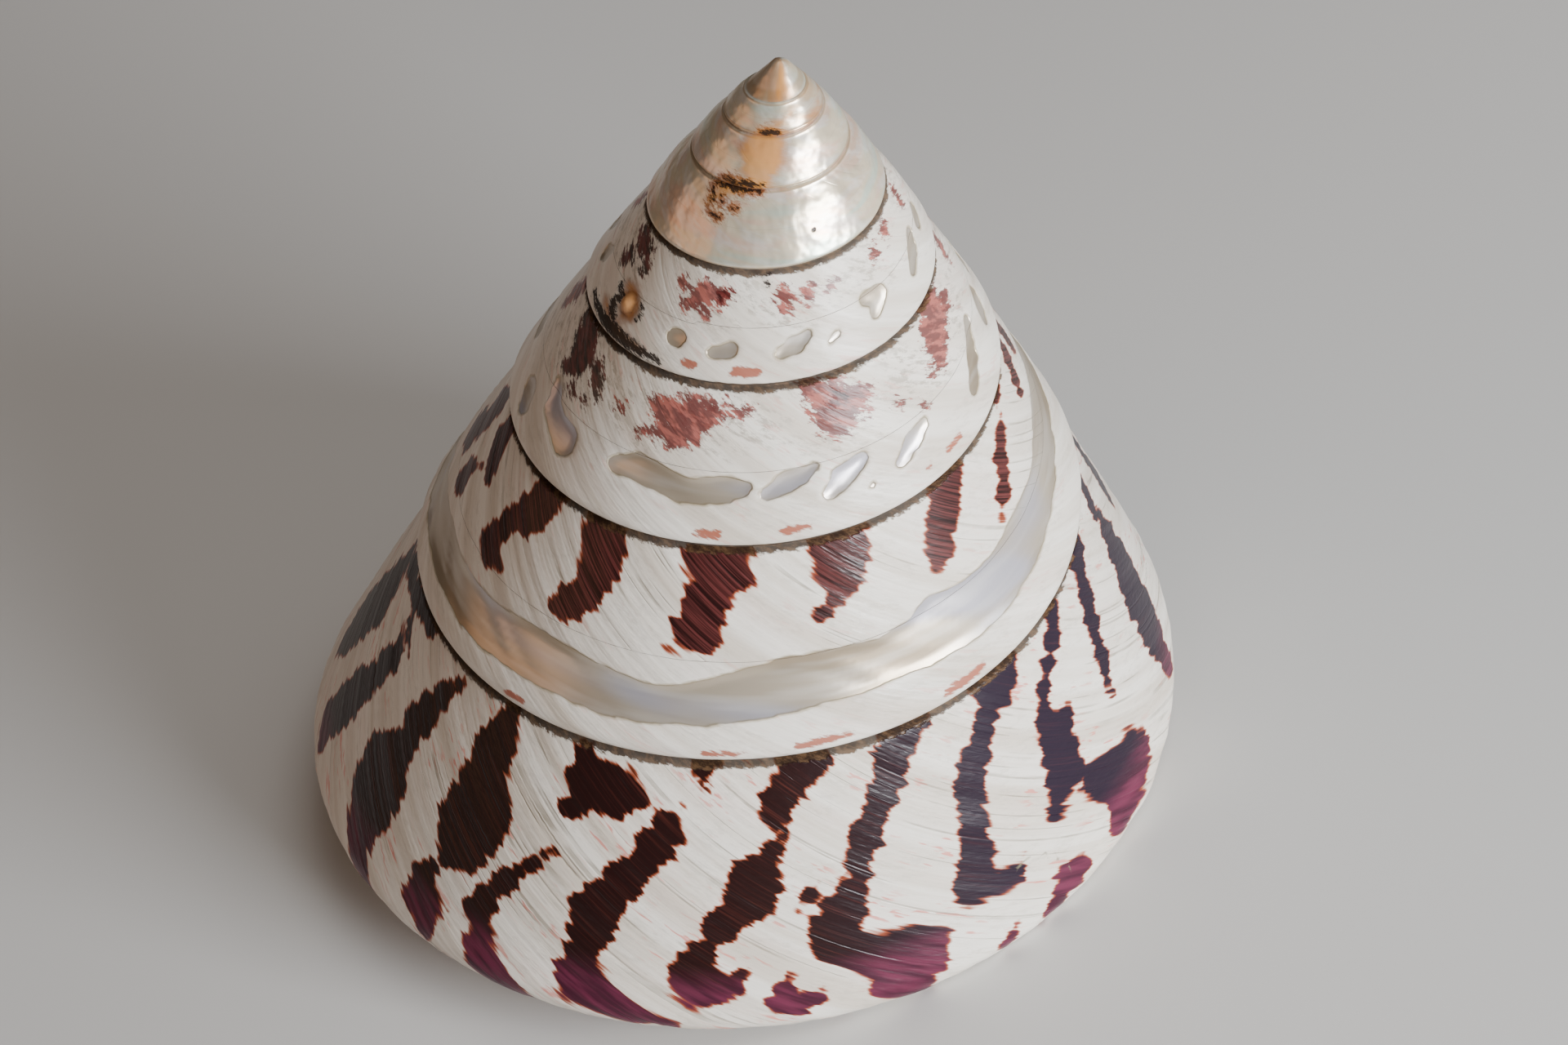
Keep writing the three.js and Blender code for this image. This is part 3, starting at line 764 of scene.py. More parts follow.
def chamber_section(turn, size):
    """Points round the open chamber at a turn, drawn in towards their middle by 1 - size."""
    share = slant_at(turn) / slant_at(MOUTH)
    whorl = Whorl(np.array(turn))
    inner = CAVITY_INNER * share
    floor = base_depth(PILLAR_FLARE, whorl.centre_r, whorl.centre_d + whorl.round) - FLOOR_WALL * share
    outer_roof = np.array([whorl.top_r + ROOF_CORNER[0] * share, whorl.top_d + ROOF_CORNER[1] * share])
    inner_roof = np.array([inner, whorl.top_d + ROOF_DROP * share])
    arch = (inner_roof + outer_roof) / 2 - np.array([0, ROOF_ARCH * share])
    outer_floor, inner_floor = np.array([whorl.centre_r, whorl.centre_d]), np.array([inner, floor])
    corners = [outer_roof, outer_floor, inner_floor, inner_roof, arch]
    middle = sum(corners) / len(corners)
    points = []
    for i, corner in enumerate(corners):
        start = corner + (corners[i - 1] - corner) * CORNER_SHARE
        end = corner + (corners[(i + 1) % len(corners)] - corner) * CORNER_SHARE
        for k in np.linspace(0, 1, CORNER_POINTS):
            points.append((1 - k) ** 2 * start + 2 * k * (1 - k) * corner + k * k * end)
    return middle + (np.array(points) - middle) * size


def chamber_mesh():
    """The open chamber, from just past the mouth to its rounded inner end."""
    steps = round((CAVITY_TURNS + CAVITY_LEAD) * CAVITY_STEPS_PER_TURN)
    turns = MOUTH + CAVITY_LEAD - np.arange(steps) / CAVITY_STEPS_PER_TURN
    sections = []
    for i, turn in enumerate(turns):
        to_end = min(1, (steps - i) / (CAVITY_END * CAVITY_STEPS_PER_TURN))
        points = chamber_section(turn, math.sqrt(1 - (1 - to_end) ** 2))
        sections.append(standing(np.full(len(points), turn), points[:, 0], points[:, 1]))
    around = len(sections[0])
    faces = [list(range(around)), list(range((steps - 1) * around, steps * around))[::-1]]
    for i in range(steps - 1):
        for j in range(around):
            k = (j + 1) % around
            faces.append([i * around + j, (i + 1) * around + j, (i + 1) * around + k, i * around + k])
    corners = [(turns[n // around], CAVITY_PLACE + (n % around) / around) for face in faces for n in face]
    return np.concatenate(sections), faces, np.array(corners)


def mouth_wedge_mesh():
    """What gives the mouth its slanting plane."""
    end = standing(MOUTH, *suture_at(MOUTH))
    lip = standing(MOUTH - LIP_LAG, *suture_at(MOUTH - LIP_LAG + 1))
    inner = standing(MOUTH, LIP_FOOT_RADIUS, -end[2] + LIP_FOOT_DROP)
    normal = np.cross(lip - end, inner - end)
    along = np.array([end[0], end[1], 0]) / math.hypot(end[0], end[1])
    behind = standing(MOUTH - .25, 1, 0)
    near, far = -WEDGE_OVERLAP, WEDGE_REACH
    flat = [a * along + b * behind for a, b in [(-far, near), (far, near), (far, far), (-far, far)]]
    top = [np.array([p[0], p[1], end[2] - (normal[:2] @ (p[:2] - end[:2])) / normal[2]]) for p in flat]
    bottom = [np.array([p[0], p[1], -3 * WEDGE_REACH]) for p in flat]
    faces = [[0, 1, 2, 3], [7, 6, 5, 4], [0, 4, 5, 1], [1, 5, 6, 2], [2, 6, 7, 3], [3, 7, 4, 0]]
    corners = np.array([(MOUTH, CAVITY_PLACE + .5)] * sum(len(face) for face in faces))
    return np.array(top + bottom), faces, corners


def mesh_object(name, vertices, faces, corners, material):
    """A closed object whose corners carry their turn and place in a map named spiral."""
    mesh = bpy.data.meshes.new(name)
    mesh.from_pydata(vertices.tolist(), [], faces)
    layer = mesh.uv_layers.new(name="spiral")
    layer.data.foreach_set("uv", corners.astype(np.float32).ravel())
    mesh.materials.append(material)
    if mesh_volume(mesh) < 0:
        mesh.flip_normals()
    obj = bpy.data.objects.new(name, mesh)
    bpy.context.scene.collection.objects.link(obj)
    return obj


def mesh_points(mesh):
    co = np.empty(len(mesh.vertices) * 3)
    mesh.vertices.foreach_get("co", co)
    return co.reshape(-1, 3)


def mesh_volume(mesh):
    """Volume inside a closed mesh, negative if its faces look inwards."""
    mesh.calc_loop_triangles()
    triangles = np.empty(len(mesh.loop_triangles) * 3, np.int32)
    mesh.loop_triangles.foreach_get("vertices", triangles)
    a, b, c = mesh_points(mesh)[triangles.reshape(-1, 3)].transpose(1, 0, 2)
    return float(np.einsum("ij,ij->i", a, np.cross(b, c)).sum() / 6)


def cut(obj, cutter):
    """Takes cutter's space out of obj and removes cutter."""
    modifier = obj.modifiers.new("Cut", "BOOLEAN")
    modifier.operation = "DIFFERENCE"
    modifier.solver = "MANIFOLD"
    modifier.material_mode = "TRANSFER"
    modifier.object = cutter
    graph = bpy.context.evaluated_depsgraph_get()
    mesh = bpy.data.meshes.new_from_object(obj.evaluated_get(graph))
    obj.modifiers.clear()
    old = obj.data
    if len(mesh.vertices) == len(old.vertices):
        raise RuntimeError(f"{cutter.name} took nothing out of {obj.name}")
    obj.data = mesh
    bpy.data.meshes.remove(old)
    bpy.data.objects.remove(cutter)


def paint(mesh):
    """Writes each corner's distances from the flames, windows and other marks, for the finish to read."""
    uv = np.empty(len(mesh.loops) * 2, np.float32)
    mesh.uv_layers["spiral"].data.foreach_get("uv", uv)
    pairs, back = np.unique(np.round(uv.reshape(-1, 2).astype(float), 5), axis=0, return_inverse=True)
    back = back.ravel()
    turn, place = pairs[:, 0], np.where(pairs[:, 1] >= 3, UNMARKED_PLACE, pairs[:, 1])
    marks = Marks(turn, place)
    reach = marks.unsorted(marks.reach)
    width = marks.unsorted(marks.whorl.width)
    growth_turn = turn + growth_lag(reach)
    grain = np.stack([spiral_length(growth_turn), reach * width], -1)[back]
    layer = mesh.uv_layers.new(name="grain")
    layer.data.foreach_set("uv", grain.astype(np.float32).ravel())
    fields = {name: marks.edge_distance(paths) for name, paths in PAINTED.items()}
    fields["pearl_edge"] = np.minimum(marks.edge_distance(ALL_WINDOWS), marks.band_distance(PEARL_BAND))
    fields.update(seam=marks.seam_distance(), reach=reach, turn=turn, growth_turn=growth_turn)
    for name, values in fields.items():
        attribute = mesh.attributes.new(name, "FLOAT", "CORNER")
        attribute.data.foreach_set("value", values[back].astype(np.float32))


class Finish:
    """Adds the nodes of one material and joins them."""

    def __init__(self, name):
        self.material = bpy.data.materials.new(name)
        self.material.use_nodes = True
        self.tree = self.material.node_tree
        self.tree.nodes.clear()
        self.fields = {}

    def add(self, kind, inputs=(), **settings):
        node = self.tree.nodes.new(kind)
        for name, value in settings.items():
            setattr(node, name, value)
        for key, value in dict(inputs).items():
            self.feed(node.inputs[key], value)
        return node

    def feed(self, socket, value):
        if isinstance(value, bpy.types.NodeSocket):
            self.tree.links.new(value, socket)
        elif socket.type == "RGBA":
            socket.default_value = (*value[:3], 1)
        else:
            socket.default_value = value

    def math(self, operation, *values):
        return self.add("ShaderNodeMath", dict(enumerate(values)), operation=operation).outputs[0]

    def times(self, first, *others):
        for other in others:
            first = self.math("MULTIPLY", first, other)
        return first

    def plus(self, first, *others):
        for other in others:
            first = self.math("ADD", first, other)
        return first

    def minus(self, first, second):
        return self.math("SUBTRACT", first, second)

    def either(self, first, second):
        return self.math("MAXIMUM", first, second)

    def unsigned(self, value):
        return self.math("ABSOLUTE", value)

    def away_from(self, share):
        return self.minus(1, share)

    def read(self, name):
        """One of the fields that paint wrote."""
        if name not in self.fields:
            self.fields[name] = self.add("ShaderNodeAttribute", attribute_name=name).outputs["Fac"]
        return self.fields[name]

    def object_place(self):
        return self.add("ShaderNodeTexCoord").outputs["Object"]

    def noise(self, vector, scale=1.0, detail=2.0, roughness=.5, distortion=0.0):
        inputs = {"Vector": vector, "Scale": scale, "Detail": detail, "Roughness": roughness,
                  "Distortion": distortion}
        return self.add("ShaderNodeTexNoise", inputs).outputs["Fac"]

    def grown(self, across, along, shift=0.0, detail=2.0, roughness=.5, distortion=0.0):
        """Noise laid on the growth lines, with so many cells per mm across and along them."""
        uv = self.add("ShaderNodeUVMap", uv_map="grain").outputs[0]
        scaled = self.add("ShaderNodeVectorMath", {0: uv, 1: (across, along, 0)}, operation="MULTIPLY")
        moved = self.add("ShaderNodeVectorMath", {0: scaled.outputs[0], 1: (shift, shift * .7, shift)},
                         operation="ADD")
        return self.noise(moved.outputs[0], 1.0, detail, roughness, distortion)

    def sway(self, amount, *grown):
        """The same noise about zero, times an amount."""
        return self.times(self.minus(self.grown(*grown), .5), amount)

    def step(self, value, start, end):
        """0 at start, 1 at end."""
        inputs = {"Value": value, "From Min": start, "From Max": end}
        return self.add("ShaderNodeMapRange", inputs, interpolation_type="SMOOTHSTEP").outputs[0]

    def since(self, start):
        """0 on the older part of the shell, 1 on the younger, and a run between start's two turns."""
        return self.step(self.read("turn"), *start)

    def mix(self, share, first, second):
        inputs = {0: share, 6: first, 7: second}
        return self.add("ShaderNodeMix", data_type="RGBA", inputs=inputs).outputs[2]

    def between(self, share, first, second):
        """A plain number between two."""
        inputs = {0: share, 2: first, 3: second}
        return self.add("ShaderNodeMix", data_type="FLOAT", inputs=inputs).outputs[0]

    def bump(self, height, distance, normal=None):
        inputs = {"Height": height, "Distance": distance * MM}
        if normal is not None:
            inputs["Normal"] = normal
        return self.add("ShaderNodeBump", inputs).outputs[0]

    def surface(self, **inputs):
        shader = self.add("ShaderNodeBsdfPrincipled", inputs)
        output = self.add("ShaderNodeOutputMaterial")
        self.tree.links.new(shader.outputs[0], output.inputs[0])
        return self.material


def tint(colour, factor):
    return tuple(min(1.0, part * factor) for part in colour[:3])


def hair_lines(f):
    """Where the hair lines of paused growth are: faint ones everywhere, and those in the photo."""
    reach, growth_turn = f.read("reach"), f.read("growth_turn")
    hair = f.away_from(f.step(f.unsigned(f.minus(f.grown(.42, .012, 13, 1), .5)), .004, .018))
    younger = f.between(f.since(SECOND_WHORL), .3, 1)
    hair = f.times(hair, f.step(f.grown(.10, .22, 31), .44, .58), younger)
    for line_turn, start, end in PAUSES:
        line = f.away_from(f.step(f.unsigned(f.minus(growth_turn, line_turn)), .0002, .0011))
        line = f.times(line, f.step(reach, start - .02, start + .05), f.step(reach, end + .05, end - .05))
        hair = f.either(hair, line)
    return f.times(hair, f.step(f.read("seam"), .3, 1.2), f.between(f.grown(.5, .7, 17), .15, 1.1))


def ivory_ground(f, tones):
    """Ivory in bands laid down as the shell grew, with a pink cast, grey specks and pink flecks."""
    turn, reach = f.read("turn"), f.read("reach")
    ground = f.mix(f.step(f.grown(.30, .02, 0, 3, .6), .35, .68), tones.ivory, tones.ivory_shade)
    fine = f.step(f.grown(*FINE_BANDS), .45, .75)
    ground = f.mix(f.times(fine, .22), ground, tint(tones.ivory_shade, .80))
    ground = f.mix(f.times(f.step(f.grown(.16, .10, 3), .50, .75), .30), ground, tones.blush)
    specks = f.times(f.step(f.grown(1.3, 1.0, 9, 4, .75), .48, .62), f.step(f.grown(.20, .25, 11), .40, .56))
    older_side = f.times(f.step(turn, -1.35, -1.5), f.step(reach, .02, .15), f.step(reach, .66, .50))
    ground = f.mix(f.times(specks, f.between(older_side, .25, .75)), ground, tones.grey)
    flecks = f.times(f.step(f.grown(1.5, .55, 21, 2, .6), .58, .65), f.step(f.grown(.22, .14, 5), .46, .60))
    return f.mix(f.times(flecks, f.between(f.since(LAST_WHORL), .25, .80)), ground, tones.fleck)


def flames_over(f, tones, ground):
    """Flames, with teeth along the growth lines and a red fringe, and a painted blue-purple sheen on the
    side that faces the window light.
    """
    turn = f.read("turn")
    ragged = f.plus(f.sway(2.0, *TEETH), f.sway(1.9, .42, .30, 43, 1), f.sway(.8, 2.6, .30, 42))
    edge = f.plus(f.read("flame_edge"), ragged)
    streak = f.grown(3.4, .11, 47, 3, .65)
    dark = f.mix(f.step(streak, .50, .74), tones.flame, tones.flame_streak)
    second = f.times(f.step(turn, -.45, -.6), f.since(SECOND_WHORL))
    dark = f.mix(f.times(second, f.step(streak, .38, .66)), dark, tones.second_streak)
    # Painted sheen: the flames on the right side, which faces the bluish window light, are tinted
    # blue-purple in place of that light's reflection.
    dark = f.mix(f.times(f.step(turn, .0, -.12), f.since(LAST_WHORL), .7), dark, tones.flame_blue_sheen)
    plum = f.mix(f.step(f.grown(.9, .3, 51), .35, .65), tones.plum, tones.plum_light)
    dark = f.mix(f.times(f.step(f.read("reach"), .80, .95), f.since(LAST_WHORL), .92), dark, plum)
    fringe = f.mix(f.step(edge, -.25, .16), dark, tones.fringe)
    return f.mix(f.step(edge, .30, -.02), ground, f.mix(f.step(edge, .0, -.30), fringe, dark))


def patches_over(f, tones, colour):
    """Salmon patches and red dashes of the older whorls, and the olive ring of the healed scar."""
    speckle = f.minus(f.grown(1.9, 1.3, 61, 4, .72), .5)
    torn = f.plus(f.sway(1.2, *TEETH), f.times(speckle, 4.2))
    cluster = f.grown(.9, .7, 63, 3, .65)
    salmon = f.mix(f.step(cluster, .40, .55), tones.salmon, tones.salmon_dark)
    dark = f.mix(f.step(cluster, .40, .62), tones.salmon_dark, tones.flame)
    for field, ragged, start, end, share, tone in [
        ("blotch_edge", torn, .30, -.15, .94, salmon),
        ("dark_blotch_edge", torn, .30, -.15, .94, dark),
        ("olive_edge", f.times(speckle, .5), .12, -.08, .80, tones.olive),
        ("dash_edge", f.times(speckle, 1.2), .18, -.06, .90, tones.dash),
    ]:
        inside = f.step(f.plus(f.read(field), ragged), start, end)
        colour = f.mix(f.times(inside, share), colour, tone)
    return colour


def windows_over(f, tones, colour):
    """Windows of pearl with a thin tan rim; also gives where they are."""
    edge = f.plus(f.read("pearl_edge"), f.sway(.7, .5, .5, 71))
    sheen = f.grown(.07, .16, 73, 1, .5, .4)
    nacre = f.mix(f.step(sheen, .38, .56), tones.pearl, tones.pearl_warm)
    nacre = f.mix(f.times(f.step(sheen, .54, .68), .6), nacre, tones.pearl_blue)
    nacre = f.mix(f.times(f.step(f.grown(.12, .7, 75), .42, .70), .30), nacre, tones.pearl_light)
    inside = f.step(edge, .04, -.10)
    rim = f.times(f.step(f.unsigned(edge), .20, .05), f.step(f.grown(.6, .6, 77), .30, .55), .60)
    return f.mix(rim, f.mix(inside, colour, nacre), tones.tan), inside


def worn_over(f, tones, colour):
    """The early whorls, worn to pearl, with their cords and amber tip; also gives where they are."""
    boundary = f.plus(f.read("turn"), f.sway(.12, .25, .25, 81))
    worn = f.step(boundary, -3.38, -3.50)
    hue = f.grown(.16, .35, 83, 2, .5, .8)
    mottle = f.grown(.55, .5, 85, 3, .6)
    pearl = f.mix(f.step(hue, .36, .50), tones.tip_rose, tones.tip_pearl)
    pearl = f.mix(f.step(hue, .52, .66), pearl, tones.tip_green)
    pearl = f.mix(f.times(f.step(mottle, .45, .62), .55), pearl, tones.pearl_light)
    colour = f.mix(worn, colour, pearl)
    from_cord = f.unsigned(f.minus(f.unsigned(f.read("seam")), CORD_OFFSET))
    colour = f.mix(f.times(f.step(from_cord, .13, .04), worn, .75), colour, tones.cord)
    nub = f.times(f.step(boundary, -5.75, -6.15), f.step(hue, .62, .45), .50)
    return f.mix(nub, colour, f.mix(f.step(mottle, .42, .62), tones.amber, tones.cord)), worn


def dirt_over(f, tones, colour):
    """Dirt in the sutures, thin on the early ones; also gives where the thick dirt is."""
    seam = f.read("seam")
    grime = f.grown(*GRIME)
    crumbs = f.sway(.6, 2.4, 2.4, 93, 3, .7)
    spread = f.plus(f.between(grime, -.10, f.between(f.since(LAST_WHORL), 1.15, 1.40)), crumbs)
    unworn = f.since(UNWORN)
    dirt = f.times(f.step(f.minus(seam, spread), .14, -.10),
                   f.step(f.plus(seam, f.between(grime, .0, .75)), -.08, .10), unworn)
    tone = f.mix(f.step(f.plus(grime, crumbs), .42, .66), tones.dirt, tones.dirt_light)
    colour = f.mix(f.times(dirt, .93), colour, tone)
    early = f.times(f.step(f.unsigned(seam), .16, .05), f.away_from(unworn), .30)
    return f.mix(early, colour, tones.dirt_light), dirt


def stains_over(f, tones, colour):
    """Rust and black stains; also gives where each is."""
    black_edge = f.plus(f.read("black_edge"), f.sway(2.2, 2.6, 2.6, 95, 4, .75))
    rust_edge = f.plus(f.read("rust_edge"), f.sway(1.6, *GRIME))
    halo = f.times(f.step(black_edge, .75, .10), f.step(f.read("turn"), -3.3, -3.5), .95)
    rust = f.either(f.times(f.step(rust_edge, .5, -.9), .85), halo)
    colour = f.mix(rust, colour, f.mix(f.step(rust_edge, .1, -1.1), tones.rust, tones.amber))
    black = f.either(f.step(black_edge, .10, -.12), f.step(f.read("dot_edge"), .06, -.04))
    return f.mix(f.times(black, .95), colour, tones.black), rust, black


def fine_relief(f, hair, nacre, worn, dull):
    """Growth lines and hair lines on the ivory, and the hammered pearl at the tip."""
    lines = f.plus(f.times(f.grown(2.8, .05, 101, 3, .6), .14), f.grown(.75, .03, 103),
                   f.times(f.grown(2.2, 1.5, 107), .30))
    normal = f.bump(f.times(lines, f.away_from(nacre)), .10)
    normal = f.bump(f.times(f.noise(f.object_place(), 430), worn), .27, normal)
    return f.bump(f.away_from(f.either(f.times(hair, .7), dull)), .06, normal)


def polished_outside(tones):
    """The polished outer finish: flames on ivory, windows of pearl, dirty sutures and a pearly tip."""
    f = Finish("polished_outside")
    hair = hair_lines(f)
    colour = f.mix(f.times(hair, .75), ivory_ground(f, tones), tones.hairline)
    colour = patches_over(f, tones, flames_over(f, tones, colour))
    colour, windows = windows_over(f, tones, colour)
    colour, worn = worn_over(f, tones, colour)
    colour, dirt = dirt_over(f, tones, colour)
    colour, rust, black = stains_over(f, tones, colour)
    nacre, dull = f.either(windows, worn), f.either(dirt, black)
    roughness = f.between(nacre, f.plus(.33, f.sway(.16, *FINE_BANDS)), .29)
    normal = fine_relief(f, hair, nacre, worn, dull)
    return f.surface(**{
        "Base Color": colour,
        "Roughness": f.between(dull, roughness, .72),
        "Metallic": f.times(nacre, f.away_from(f.either(dull, rust)), .55),
        "Normal": normal,
        "Coat Normal": normal,
        "Specular IOR Level": .16,
        "Coat Weight": .12,
        "Coat Roughness": .07,
    })


def pearl_lining(tones):
    """Bare mother-of-pearl inside the mouth and on the cut edge of the lip."""
    f = Finish("pearl_lining")
    place = f.object_place()
    hue = f.noise(place, 90, 2, .5, .6)
    fine = f.noise(place, 520, 3, .6)
    colour = f.mix(f.step(hue, .35, .50), tones.tip_rose, tones.pearl_light)
    colour = f.mix(f.step(hue, .52, .68), colour, tones.tip_green)
    colour = f.mix(f.times(f.step(fine, .45, .70), .25), colour, tones.pearl_warm)
    return f.surface(**{
        "Base Color": colour,
        "Roughness": f.between(fine, .14, .30),
        "Metallic": .3,
        "Normal": f.bump(f.noise(place, 260, 3, .6), .06),
        "Coat Weight": .4,
        "Coat Roughness": .08,
    })


def length_prop(name, description, default):
    return FloatProperty(name=name, description=description, default=default, unit="LENGTH")


def power_prop(name, description, default):
    return FloatProperty(name=name, description=description, default=default, unit="POWER")


def colour_prop(name, description, default):
    return FloatVectorProperty(
        name=name, description=description, default=default, subtype="COLOR", min=0, max=1)


class TopShellForm(bpy.types.PropertyGroup):
    """Sizes of the shell's low relief."""

    steps_per_turn: IntProperty(
        name="Steps per turn", description="Sections in each turn", default=240, min=96, max=320)
    suture_groove: length_prop("Suture groove", "Depth of the groove between two whorls", .00030)
    pearl_recess: length_prop("Pearl recess", "How far the windows of pearl are ground down", .00024)
    wrinkle_height: length_prop("Wrinkles", "Height of the growth wrinkles on the last whorl", .00010)


class TopShellColours(bpy.types.PropertyGroup):
    """Colours of the shell."""

    ivory: colour_prop("Ivory", "Ground of the whorls", (.80, .75, .67))
    ivory_shade: colour_prop("Ivory shade", "Darker growth bands of the ground", (.62, .545, .455))
    blush: colour_prop("Blush", "Pink cast of the ground", (.80, .66, .60))
    fleck: colour_prop("Flecks", "Small pink flecks", (.66, .20, .16))
    grey: colour_prop("Grey specks", "Faint grey specks of the older whorls", (.36, .31, .25))
    hairline: colour_prop("Hair lines", "Thin lines of paused growth", (.16, .13, .08))
    flame: colour_prop("Flames", "Dark flames of the last whorl", (.016, .005, .0045))
    flame_streak: colour_prop("Flame streaks", "Lighter streaks in the flames", (.060, .015, .011))
    # A painted sheen: blue-purple tint for the flames on the side that faces the window light, standing in
    # for its reflection.
    flame_blue_sheen: colour_prop("Cool flames", "Blue-purple cast of the flames on the right", (.014, .009, .022))
    second_streak: colour_prop("Second whorl streaks", "Streaks in the older flames", (.105, .027, .025))
    plum: colour_prop("Plum", "Flames near the lower edge", (.050, .010, .022))
    plum_light: colour_prop("Light plum", "Lighter parts of the plum", (.125, .022, .048))
    fringe: colour_prop("Fringe", "Red edge of the flames", (.36, .075, .028))
    dash: colour_prop("Dashes", "Short red dashes above the sutures", (.32, .07, .032))
    salmon: colour_prop("Salmon", "Patches on the older whorls", (.34, .085, .065))
    salmon_dark: colour_prop("Dark salmon", "Dark parts of the patches", (.12, .022, .020))
    pearl: colour_prop("Pearl", "Mother-of-pearl in the windows", (.36, .285, .20))
    pearl_warm: colour_prop("Warm pearl", "Warmer mother-of-pearl", (.52, .44, .34))
    pearl_light: colour_prop("Light pearl", "Palest mother-of-pearl", (.80, .77, .72))
    pearl_blue: colour_prop("Blue pearl", "Lilac-blue cast of the mother-of-pearl", (.50, .52, .66))
    tan: colour_prop("Window rim", "Thin rim of the windows", (.36, .28, .16))
    tip_pearl: colour_prop("Tip pearl", "Cream pearl of the early whorls", (.74, .63, .46))
    tip_rose: colour_prop("Tip rose", "Rose cast of the early whorls", (.78, .56, .42))
    tip_green: colour_prop("Tip green", "Green cast of the early whorls", (.60, .66, .54))
    cord: colour_prop("Tip cords", "Cords beside the early sutures", (.50, .36, .22))
    dirt: colour_prop("Dirt", "Dirt in the sutures", (.022, .010, .0035))
    dirt_light: colour_prop("Light dirt", "Thin dirt beside the sutures", (.095, .050, .022))
    rust: colour_prop("Rust", "Edges of the rust stains", (.22, .062, .010))
    amber: colour_prop("Amber", "Middle of the rust stains", (.48, .19, .028))
    olive: colour_prop("Olive", "Ring of the healed scar", (.20, .18, .11))
    black: colour_prop("Black", "Black stains", (.012, .007, .005))


class TopShellStage(bpy.types.PropertyGroup):
    """The floor and the lights."""

    floor: colour_prop("Floor", "Colour of the floor", (.70, .69, .67))
    window: power_prop("Window light", "Power of the low light on the right", 9.5)
    overhead: power_prop("Overhead light", "Power of the large light above", 4.2)
    fill: power_prop("Fill light", "Power of the weak light on the left", 1.3)
    sky_strength: FloatProperty(
        name="Sky", description="Strength of the light from all sides", default=.06, min=0, max=4)


class TOPSHELL_OT_shell(bpy.types.Operator):
    """Build the shell: the coiled outside, the open chamber and the plane of the mouth"""

    bl_idname = "top_shell.shell"
    bl_label = "Shell"

    def execute(self, context):
        outside = polished_outside(context.scene.top_shell_colours)
        lining = pearl_lining(context.scene.top_shell_colours)
        shell = mesh_object("whole_shell", *filled_shell(context.scene.top_shell_form), outside)
        cut(shell, mesh_object("chamber", *chamber_mesh(), lining))
        cut(shell, mesh_object("mouth_wedge", *mouth_wedge_mesh(), lining))
        mesh = shell.data
        low, high = (np.array(corner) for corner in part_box("shell"))
        points = np.clip(set_down(mesh_points(mesh)), low, high)
        mesh.vertices.foreach_set("co", points.astype(np.float32).ravel())
        mesh.update()
        paint(mesh)
        mesh.polygons.foreach_set("use_smooth", np.ones(len(mesh.polygons), bool))
        mesh.set_sharp_from_angle(angle=SHARP_ANGLE)
        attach(shell, "root")
        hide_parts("shell")
        return {"FINISHED"}


class TOPSHELL_OT_stage(bpy.types.Operator):
    """Build the floor, the lights and the camera"""

    bl_idname = "top_shell.stage"
    bl_label = "Stage"

    def execute(self, context):
        settings = context.scene.top_shell_stage
        add_floor(settings)
        add_camera(context.scene)
        add_lights(settings)
        add_sky(context.scene, settings)
        return {"FINISHED"}


def add_floor(settings):
    f = Finish("pale_floor")
    soft = f.noise(f.object_place(), 6, 3, .5)
    colour = f.mix(soft, tint(settings.floor, .98), tint(settings.floor, 1.02))
    material = f.surface(**{"Base Color": colour, "Roughness": .75})
    mesh = bpy.data.meshes.new("floor")
    around = [(-1, -1), (1, -1), (1, 1), (-1, 1)]
    mesh.from_pydata([(x * FLOOR_HALF, y * FLOOR_HALF, FLOOR_LEVEL) for x, y in around], [], [(0, 1, 2, 3)])
    mesh.materials.append(material)
    floor = bpy.data.objects.new("floor", mesh)
    bpy.context.scene.collection.objects.link(floor)


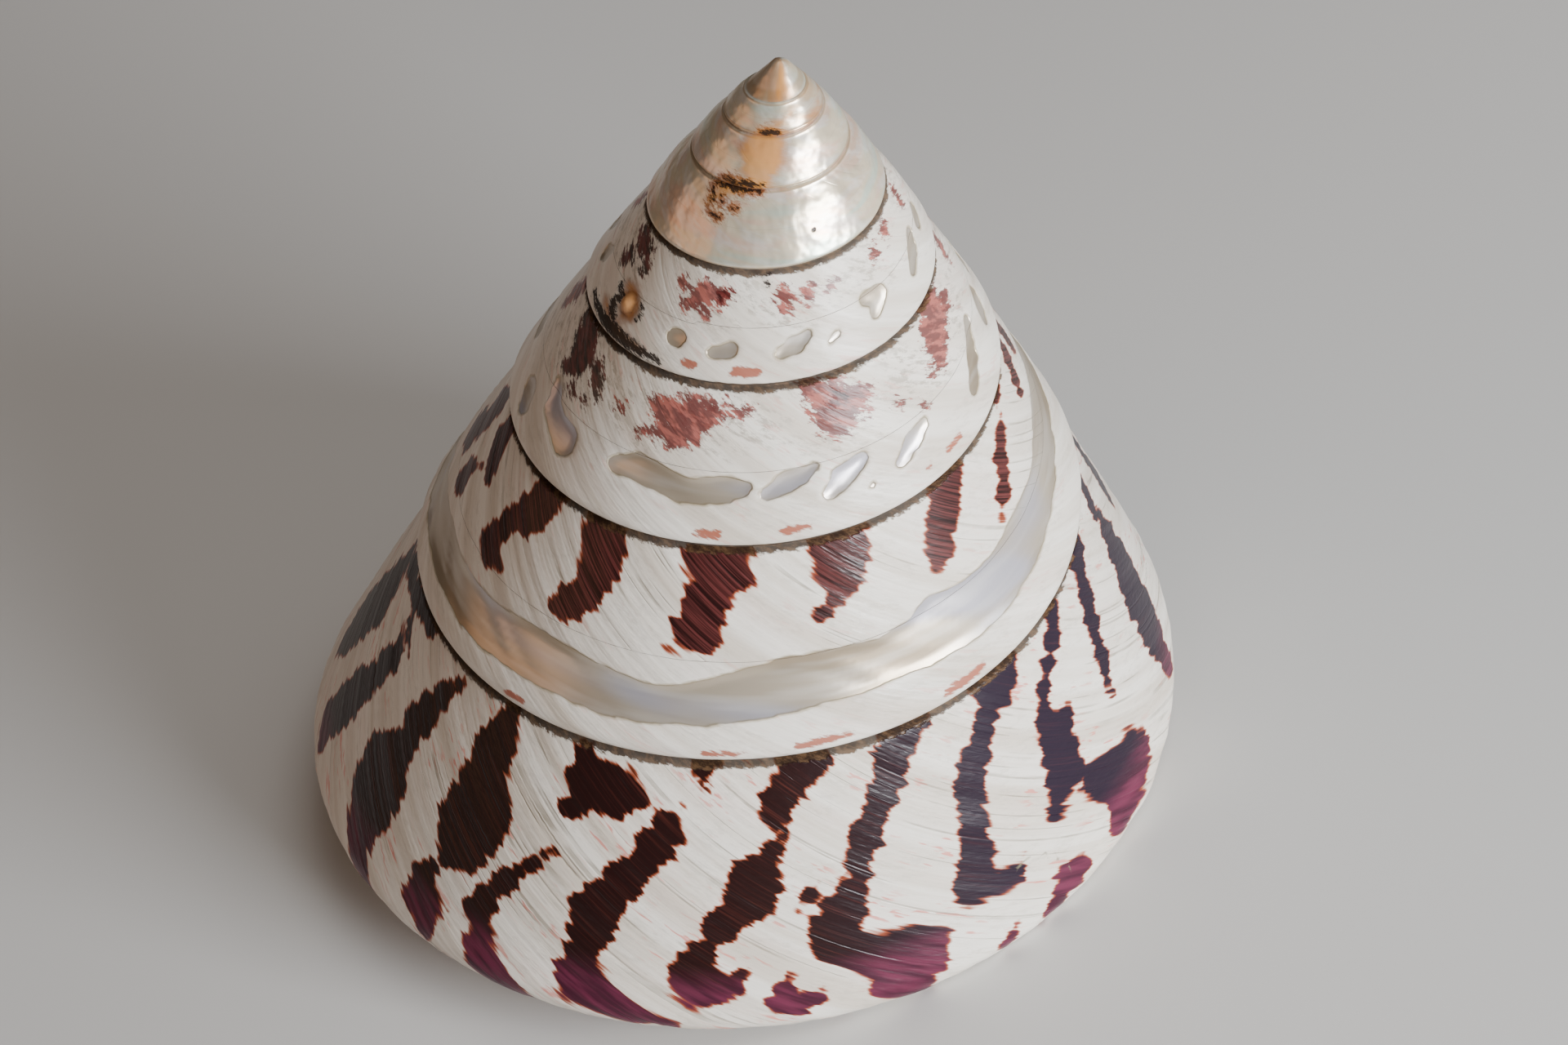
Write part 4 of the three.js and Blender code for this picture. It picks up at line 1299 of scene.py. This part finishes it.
def add_camera(scene):
    """The photo's own view, given about the shell's axis and leaned over with it."""
    forward = Vector((0, math.cos(CAMERA_ELEVATION), -math.sin(CAMERA_ELEVATION)))
    level = Vector((1, 0, 0))
    above = level.cross(forward)
    right = level * math.cos(CAMERA_ROLL) - above * math.sin(CAMERA_ROLL)
    up = level * math.sin(CAMERA_ROLL) + above * math.cos(CAMERA_ROLL)
    place = (Vector(CAMERA_AIM) - forward * CAMERA_DISTANCE) * MM
    lean = lean_matrix()
    axes = Matrix((lean @ right, lean @ up, lean @ -forward)).transposed()
    data = bpy.data.cameras.new("camera")
    data.lens = CAMERA_LENS
    data.sensor_width = CAMERA_SENSOR
    data.clip_start, data.clip_end = CAMERA_CLIP
    camera = bpy.data.objects.new("camera", data)
    camera.matrix_world = Matrix.Translation(lean @ place + rest_place()) @ axes.to_4x4()
    scene.collection.objects.link(camera)
    scene.camera = camera


def add_lights(settings):
    for name, bearing, height, distance, size, colour in LIGHTS:
        a, e = math.radians(bearing), math.radians(height)
        towards = Vector((math.sin(a) * math.cos(e), -math.cos(a) * math.cos(e), math.sin(e)))
        data = bpy.data.lights.new(name, "AREA")
        data.shape = "RECTANGLE"
        data.size, data.size_y = size
        data.energy = getattr(settings, name)
        data.color = colour
        light = bpy.data.objects.new(name, data)
        light.location = Vector((0, 0, LIT_HEIGHT)) + towards * distance
        light.rotation_euler = towards.to_track_quat("Z", "Y").to_euler()
        bpy.context.scene.collection.objects.link(light)


def add_sky(scene, settings):
    world = bpy.data.worlds.new("studio")
    world.use_nodes = True
    background = world.node_tree.nodes["Background"]
    background.inputs[0].default_value = (*SKY_COLOUR, 1)
    background.inputs[1].default_value = settings.sky_strength
    scene.world = world


class TOPSHELL_PT_panel(bpy.types.Panel):
    """Top shell settings"""

    bl_idname = "TOPSHELL_PT_panel"
    bl_label = "Top Shell"
    bl_space_type = "VIEW_3D"
    bl_region_type = "UI"
    bl_category = "Top Shell"

    def draw(self, context):
        for settings in GROUPS:
            group = getattr(context.scene, settings)
            column = self.layout.column(align=True)
            for name in group.__annotations__:
                column.prop(group, name)
        self.layout.operator(TOPSHELL_OT_shell.bl_idname)
        self.layout.operator(TOPSHELL_OT_stage.bl_idname)


GROUPS = {
    "top_shell_form": TopShellForm,
    "top_shell_colours": TopShellColours,
    "top_shell_stage": TopShellStage,
}
CLASSES = (*GROUPS.values(), TOPSHELL_OT_shell, TOPSHELL_OT_stage, TOPSHELL_PT_panel)


def register():
    for cls in CLASSES:
        bpy.utils.register_class(cls)
    for name, group in GROUPS.items():
        setattr(bpy.types.Scene, name, PointerProperty(type=group))


def unregister():
    for name in GROUPS:
        delattr(bpy.types.Scene, name)
    for cls in reversed(CLASSES):
        bpy.utils.unregister_class(cls)


def main():
    register()
    bpy.ops.top_shell.shell()
    bpy.ops.top_shell.stage()


if __name__ == "__main__":
    main()
